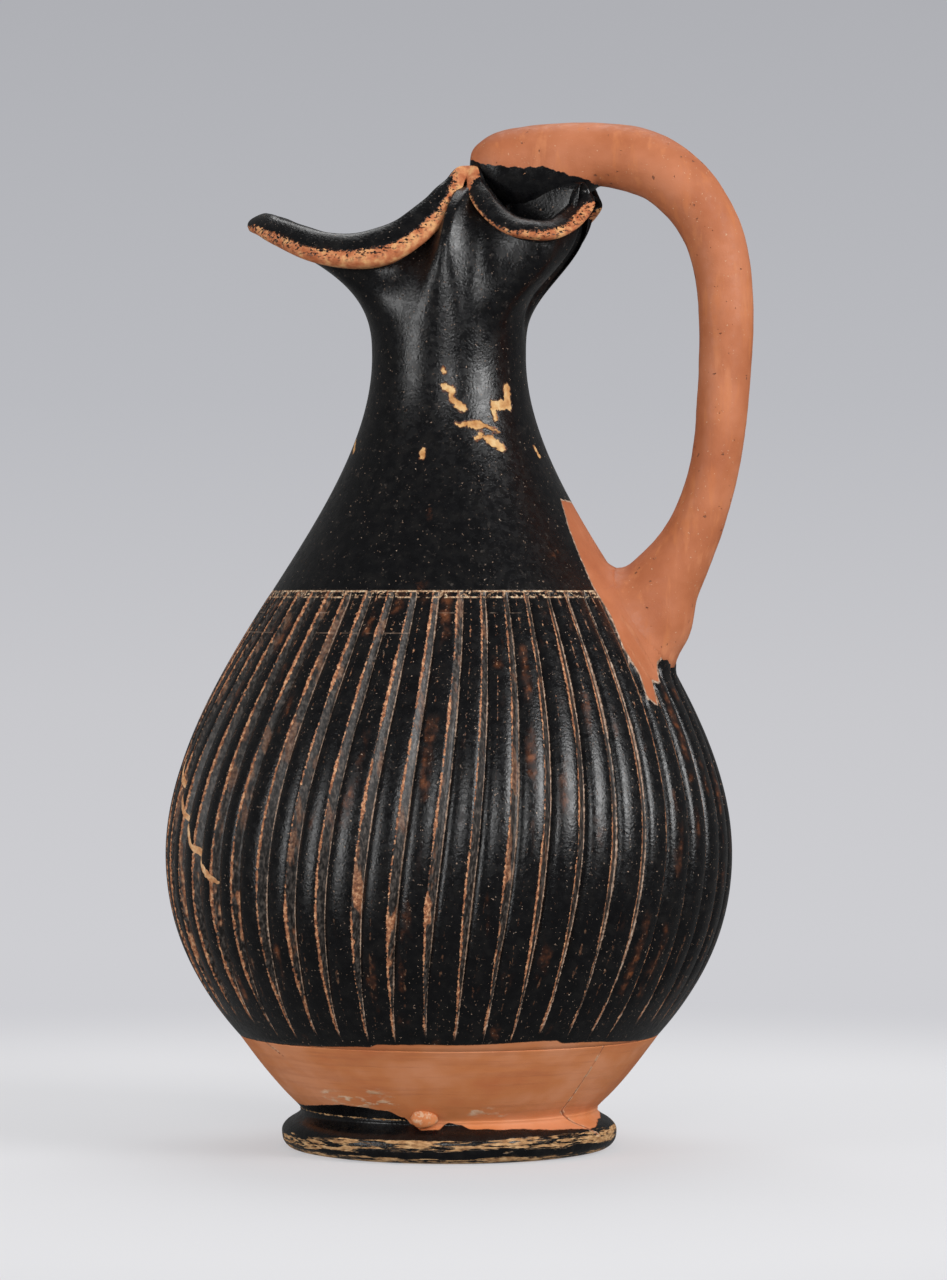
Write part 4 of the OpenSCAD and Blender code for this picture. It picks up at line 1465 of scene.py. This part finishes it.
@dataclass(frozen=True)
class FootAndFloor:
    """The turned foot ring, and the floor with the bare wall over it."""

    profile: ThrownProfile
    marks: WallMarks
    columns: int = 720
    floor_thickness: float = 4.5
    inner_radius: float = 25.0
    waist_radius: float = 29.8
    # How far the turned face wanders, in millimetres
    wander: float = 0.12

    def lathe(self, name: str, outline: Sequence[tuple[float, float]], joined: bool,
              poles: tuple[float, float] | None, worn: Callable[[float, float, float], float],
              material: Material) -> Object:
        """Turn an outline round the axis.

        Args:
            name: Name of the piece.
            outline: Radius and height of its points, from the outer side's foot up.
            joined: Whether the outline closes on itself.
            poles: Heights where the outline meets the axis.
            worn: Function that gives the millimetres inside a worn place.
            material: The piece's finish.

        Returns:
            The piece.
        """
        rings = []
        marks = self.marks
        fields: dict[str, list[float]] = {
            key: [] for key in ("slip", "dark", "worn", "crack", "dust")}
        for r, z in outline:
            ring = []
            for i in range(self.columns):
                angle = 360 * i / self.columns
                flat = wrapped(angle)
                turn = math.radians(angle)
                out = self.wander * noise.noise(Vector(polar(1, turn, z * 0.09)) * 2)
                ring.append(polar(r + out, turn, z))
                fields["slip"].append(marks.slip_height(flat) - z)
                fields["dark"].append(marks.dark_depth(flat, z))
                fields["worn"].append(worn(flat, r, z))
                fields["crack"].append(marks.deepest(marks.cracks, flat, z, r))
                fields["dust"].append(marks.deepest(marks.dust, flat, z, r))
            rings.append(ring)
        form = RingForm(name, rings, fields, joined=joined)
        if poles:
            form.first_pole, form.last_pole = (0, 0, poles[0]), (0, 0, poles[1])
        return form.build(material)

    def wall_material(self) -> Material:
        """Return bare clay with slip above its edge."""
        surface = Surface("bare_fired_clay_on_wall", BLACK_GLOSS)
        lay_bare_foot(surface)
        dusty = surface.spots(1.6, 0.48, 0.6, 0.8, (0.5, 0.5, 1.5), shift=0.5)
        surface.lay(DUSTY_CLAY, surface.both(surface.inside("dust", 0.8, 4, 0.8), dusty))
        surface.lay(BLACK_GLOSS, surface.inside("dark", 0.12, 3, 0.1), 0.04)
        surface.lay(FOOT_CLAY, surface.inside("worn", 0.16, 0.8, 0.06))
        lay_crack(surface)
        return surface.complete()

    def foot_material(self) -> Material:
        """Return clay with black slip, rubbed away in two level bands."""
        surface = Surface("black_slip_rubbed_off_foot", BARE_CLAY)
        surface.lay(BLACK_GLOSS, surface.inside("dark", 0.12, 3, 0.1), 0.04)
        wheel = (0.12, 0.12, 1)
        band = surface.inside("worn", 0.6, 1.1, 0.08, stretch=wheel)
        surface.lay(FOOT_CLAY, band, -0.04)
        left = surface.spots(0.6, 0.5, 0.55, 1, wheel, detail=6, shift=0.6)
        surface.lay(BLACK_GLOSS, surface.both(band, left))
        lay_crack(surface)
        return surface.complete()

    def build_wall(self) -> Object:
        """Make the floor and the bare wall over the foot."""
        profile = self.profile
        low = corners("foot_ring")[1].z
        floor = low + self.floor_thickness
        waist = self.waist_radius
        outer = smooth_line(((waist, low), (waist + 0.3, low + 0.8), (33.3, low + 4.1),
                             (37.7, low + 9.3), (self.profile.stations[0][1], profile.band)), 12)
        inner = [(profile.inner(profile.band), profile.band),
                 (waist - profile.wall + 1, floor + 1.5), (waist - profile.wall - 2, floor),
                 (12, floor), (2, floor)]
        outline = [(2, low), (16, low), *outer, *inner]

        def worn(angle: float, r: float, z: float) -> float:
            """Return the millimetres inside the worn seam over the foot, in the black slip."""
            seam = 0.08 - abs(z - low - 0.4)
            return min(seam, self.marks.dark_depth(angle, z) - 0.6) if r > waist - 1 else FAR_OUTSIDE

        return self.lathe("floor_and_bare_wall", outline, False, (low, floor), worn,
                          self.wall_material())

    def build_foot(self) -> Object:
        """Make the torus foot."""
        top = corners("foot_ring")[1]
        edge, high = top.x, top.z
        inner, waist = self.inner_radius, self.waist_radius
        outer = smooth_line(((edge - 3.8, 0), (edge - 1.6, 0.5), (edge - 0.4, 1.6), (edge, 3),
                             (edge - 0.1, 4.4), (edge - 1.1, 5.6), (edge - 2.7, high - 1.4),
                             (waist, high - 0.6), (waist, high)), 8)
        outline = [(inner + 1, 0), *outer, (inner - 2, high), (inner - 1, high / 2), (inner, 0.8)]

        def worn(angle: float, r: float, z: float) -> float:
            """Return the millimetres inside the two rubbed bands of the foot."""
            left = smooth(-15, -65, wrapped(angle - self.marks.front))
            middle = 3.8 - 1.1 * left
            return max(1.0 - abs(z - middle), 1.3 - z) if r > inner + 1 else FAR_OUTSIDE

        return self.lathe("turned_foot", outline, True, None, worn, self.foot_material())


@dataclass(frozen=True)
class ClayLump:
    """The small flat lump of clay in the corner over the foot.

    Attributes:
        angle: Its angle round the jug.
        reach: Distance of its middle from the axis.
        height: Height of its middle.
        half: Half its thickness, width and height.
    """

    angle: float = -87.0
    reach: float = 31.0
    height: float = 8.9
    half: Point = (1.5, 2.75, 1.9)

    def build(self) -> Object:
        """Make the lump from level rings."""
        turn = math.radians(self.angle)
        outwards = Vector(polar(1, turn, 0))
        across = Vector((-math.sin(turn), math.cos(turn), 0))
        middle = outwards * self.reach + Vector((0, 0, self.height))
        rings, count, rows = [], 28, 14
        for row in range(1, rows):
            rise = math.pi * row / rows - math.pi / 2
            ring = []
            for i in range(count):
                swing = math.tau * i / count
                way = Vector(polar(math.cos(rise), swing, math.sin(rise)))
                size = 0.95 + 0.12 * noise.noise(way * 1.8)
                ring.append(tuple(middle + (outwards * way.x * self.half[0]
                                            + across * way.y * self.half[1]
                                            + Vector((0, 0, way.z * self.half[2]))) * size))
            rings.append(ring)
        pole = Vector((0, 0, self.half[2] * 0.95))
        form = RingForm("clay_lump", rings, {}, first_pole=tuple(middle - pole),
                        last_pole=tuple(middle + pole))
        surface = Surface("bare_clay_lump", BARE_CLAY)
        surface.lay(DUSTY_CLAY, surface.spots(0.8, 0.5, 0.62, 0.6, shift=0.2))
        return form.build(surface.complete())


@dataclass(frozen=True)
class CrackFill:
    """The restorer's pale fill in the crack on the belly's left side.

    Attributes:
        width: Its usual width.
        proud: How far it stands over the belly.
        sunk: How far it reaches in.
        steps: Steps between two turns of the crack.
        belly_radius: The belly's radius there.
        outside: Distance in metres from which the belly's face is looked for.
    """

    width: float = 1.3
    proud: float = 0.12
    sunk: float = 0.8
    steps: int = 8
    belly_radius: float = 56
    outside: float = 0.08

    # Turns of the crack: angle round the belly, height, share of its width
    route = ((-157.5, 78, 0.5), (-154, 74.5, 1), (-151.5, 71.5, 0.8), (-148.5, 69.5, 1.2),
             (-145.8, 66.4, 0.9), (-143, 64.6, 1.3), (-141, 61.8, 1), (-138.6, 60.4, 1.4),
             (-136.8, 58.4, 1), (-134.4, 56.6, 1.5), (-131.8, 54.6, 0.6))

    def build(self, belly: Object) -> Object:
        """Lay the fill over the ribbed belly as a low lumpy ridge."""
        tree = BVHTree.FromPolygons([v.co for v in belly.data.vertices],
                                    [p.vertices for p in belly.data.polygons])
        line = smooth_line(self.route, self.steps)
        rings = []
        across = (-1.0, -0.7, -0.35, 0.0, 0.35, 0.7, 1.0)
        for i, (angle, z, share) in enumerate(line):
            a, b = line[max(i - 1, 0)], line[min(i + 1, len(line) - 1)]
            reach = math.radians(1) * self.belly_radius
            along = Vector(((b[0] - a[0]) * reach, b[1] - a[1])).normalized()
            half = self.width * share / 2 * (1 + 0.5 * noise.noise(Vector((angle * 2, z, 0))))
            if i in (0, len(line) - 1):
                half *= 0.3
            top, bottom = [], []
            for place in across:
                turn = math.radians(angle - along.y * place * half / reach)
                height = z + along.x * place * half
                way = Vector(polar(1, turn, 0))
                start = Vector((0, 0, height * MM)) + way * self.outside
                hit = tree.ray_cast(start, -way)[0]
                r = math.hypot(hit.x, hit.y) / MM
                lump = 0.1 * noise.noise(Vector((angle, height, place)) * 1.3)
                crown = (self.proud + lump) * (1 - place * place) - 0.15 * place ** 4
                top.append((way.x * (r + crown), way.y * (r + crown), height))
                bottom.append((way.x * (r - self.sunk), way.y * (r - self.sunk), height))
            rings.append(bottom + top[::-1])
        first, last = rings[0], rings[-1]
        middle = len(across) // 2
        form = RingForm("crack_filling", rings, {}, first_pole=first[middle],
                        last_pole=last[middle])
        return form.build(Surface("pale_crack_filler", PALE_FILL).complete())


# The studio


@dataclass(frozen=True)
class Lamp:
    """One soft lamp.

    Attributes:
        name: Its name.
        turn: Degrees from the camera's side, to the right.
        rise: Its height over the jug's middle in degrees.
        size: Width and height of its face in metres.
        power: Its power in watts.
    """

    name: str
    turn: float
    rise: float
    size: tuple[float, float]
    power: float


@dataclass(frozen=True)
class Studio:
    """The camera, lamps, floor and backdrop."""

    camera_turn: float = -78.0
    camera_distance: float = 1.0
    camera_height: float = 0.1114
    # What the photo's height spans at the jug's axis, in metres
    frame_span: float = 0.256
    # Place of the axis and the horizon in the photo, in pixels
    axis_pixel: tuple[float, float] = (449.0, 590.0)
    lamp_distance: float = 1.2
    floor_radius: float = 0.36
    wall_radius: float = 0.7
    lamps: tuple[Lamp, ...] = (
        Lamp("key", 50, 24, (0.5, 0.5), 9.0), Lamp("left_softbox", -56, 6, (0.3, 0.7), 4.0),
        Lamp("front", -2, 18, (0.25, 0.4), 2.6), Lamp("back_fill", 175, 62, (0.8, 0.6), 5.0))
    # Colour of the backdrop by height in metres, and of the floor by radius
    wall_tones: tuple[tuple[float, str], ...] = (
        (0.0, "#CECED2"), (0.074, "#C8C8CC"), (0.176, "#BABBC0"), (0.309, "#AFB0B5"))
    floor_colour: str = "#E2E2E4"
    # Colour and share of the light that the paper near the jug gives back evenly
    floor_glow: str = "#E2E2E5"
    glow_share: float = 0.55

    def camera(self) -> None:
        """Make the camera, level, at the photograph's viewing angle."""
        data = bpy.data.cameras.new("camera")
        data.sensor_fit = "VERTICAL"
        data.sensor_height = 36.0
        data.lens = data.sensor_height * self.camera_distance / self.frame_span
        data.shift_x = (PHOTO_WIDTH / 2 - self.axis_pixel[0]) / PHOTO_HEIGHT
        data.shift_y = -(PHOTO_HEIGHT / 2 - self.axis_pixel[1]) / PHOTO_HEIGHT
        data.clip_start = 0.01
        camera = add_object("camera", data)
        turn = math.radians(self.camera_turn)
        camera.location = polar(self.camera_distance, turn, self.camera_height)
        camera.rotation_euler = (math.pi / 2, 0, turn + math.pi / 2)
        bpy.context.scene.camera = camera

    def light(self) -> None:
        """Hang the lamps, each facing the jug's middle."""
        middle = Vector((0, 0, 0.1))
        for lamp in self.lamps:
            data = bpy.data.lights.new(lamp.name, "AREA")
            data.shape = "RECTANGLE"
            data.size, data.size_y = lamp.size
            data.energy = lamp.power
            turn, rise = math.radians(self.camera_turn + lamp.turn), math.radians(lamp.rise)
            way = Vector(polar(math.cos(rise), turn, math.sin(rise)))
            hung = add_object(lamp.name, data)
            hung.location = middle + way * self.lamp_distance
            hung.rotation_euler = way.to_track_quat("Z", "Y").to_euler()

    def world(self) -> None:
        """Light the room dimly, and show the camera the backdrop's top colour."""
        world = bpy.data.worlds.new("studio")
        world.use_nodes = True
        bpy.context.scene.world = world
        tree = world.node_tree
        tree.nodes.clear()
        rays = add_node(tree, "ShaderNodeLightPath").outputs
        room = add_node(tree, "ShaderNodeBackground", linear("#FFFFFF"), 0.42)
        mirrored = add_node(tree, "ShaderNodeBackground", linear("#FFFFFF"), 0.12)
        shown = add_node(tree, "ShaderNodeBackground", linear(self.wall_tones[-1][1]), 1.0)
        glossy = add_node(tree, "ShaderNodeMixShader", rays["Is Glossy Ray"], room, mirrored)
        seen = add_node(tree, "ShaderNodeMixShader", rays["Is Camera Ray"], glossy, shown)
        add_node(tree, "ShaderNodeOutputWorld", seen)

    def floor_material(self) -> Material:
        """Return pale paper that fades into the backdrop away from the jug."""
        material = bpy.data.materials.new("pale_paper")
        material.use_nodes = True
        tree = material.node_tree
        tree.nodes.clear()
        place = add_node(tree, "ShaderNodeTexCoord").outputs["Object"]
        apart = add_node(tree, "ShaderNodeSeparateXYZ", place)
        radius = add_node(tree, "ShaderNodeVectorMath", place, operation="LENGTH")
        ramp = add_node(tree, "ShaderNodeValToRGB",
                        calc(tree, "DIVIDE", apart.outputs["Z"], self.wall_tones[-1][0]))
        stops = ramp.color_ramp.elements
        while len(stops) < len(self.wall_tones):
            stops.new(0.5)
        for stop, (height, code) in zip(stops, self.wall_tones):
            stop.position = height / self.wall_tones[-1][0]
            stop.color = linear(code)
        glow = add_node(tree, "ShaderNodeEmission", ramp, 1.0)
        matt = add_node(tree, "ShaderNodeBsdfDiffuse", linear(self.floor_colour))
        even = add_node(tree, "ShaderNodeEmission", linear(self.floor_glow), 1.0)
        paper = add_node(tree, "ShaderNodeMixShader", self.glow_share, matt, even)
        fade = add_node(tree, "ShaderNodeMapRange", radius.outputs["Value"], 0.16,
                        self.floor_radius, 0, 1, interpolation_type="SMOOTHSTEP")
        face = add_node(tree, "ShaderNodeMixShader", fade, paper, glow)
        clear = add_node(tree, "ShaderNodeBsdfTransparent")
        behind = add_node(tree, "ShaderNodeNewGeometry").outputs["Backfacing"]
        seen = add_node(tree, "ShaderNodeMixShader", behind, face, clear)
        add_node(tree, "ShaderNodeOutputMaterial", seen)
        return material

    def backdrop(self) -> None:
        """Make the floor, and the wall that curves up from it all the way round."""
        curve = 0.16
        edge = self.wall_radius - curve
        outline = [(0.02, 0.0), (0.1, 0.0), (0.2, 0.0), (0.3, 0.0), (0.4, 0.0)]
        outline += [(edge + curve * math.sin(math.radians(a)),
                     curve - curve * math.cos(math.radians(a))) for a in range(0, 91, 6)]
        outline += [(self.wall_radius, 0.9)]
        count = 128
        rings = [[polar(r / MM, -math.tau * i / count, z / MM) for i in range(count)]
                 for r, z in outline]
        form = RingForm("paper_backdrop", rings, {}, first_pole=(0, 0, 0))
        wall = form.build(self.floor_material())
        wall.visible_glossy = False
        wall.visible_diffuse = False
        wall.visible_shadow = False

    def build(self) -> None:
        """Set up the whole studio."""
        self.camera()
        self.light()
        self.world()
        self.backdrop()
        bpy.context.scene.view_settings.view_transform = "Standard"


def main() -> None:
    """Build the studio and the jug's pieces in order."""
    logging.basicConfig(level=logging.INFO, format="%(name)s %(message)s")
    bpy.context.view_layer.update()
    Studio().build()
    profile = ThrownProfile.from_frame()
    marks = WallMarks(profile)
    plan = HandlePlan()
    fillet = RootFillet(profile, plan)
    belly = RibbedBelly(profile, marks, fillet).build()
    place_piece(belly, Slot.BLACK_GLOSS, "ribbed_belly", "shoulder_patch")
    mouth = NeckAndMouth(profile, marks, fillet).build()
    place_piece(mouth, Slot.BLACK_GLOSS, "shoulder_neck", "trefoil_mouth")
    handle = SwungHandle(plan, fillet).build()
    place_piece(handle, Slot.NEW_TERRACOTTA, "restored_handle", "handle_stub")
    foot = FootAndFloor(profile, marks)
    place_piece(foot.build_wall(), Slot.BARE_CLAY, "lower_body")
    place_piece(foot.build_foot(), Slot.BARE_CLAY, "foot_ring")
    place_piece(ClayLump().build(), Slot.BARE_CLAY, "clay_pellet")
    place_piece(CrackFill().build(belly), Slot.LIGHT_FILL, "crack_fill")


if __name__ == "__main__":
    main()
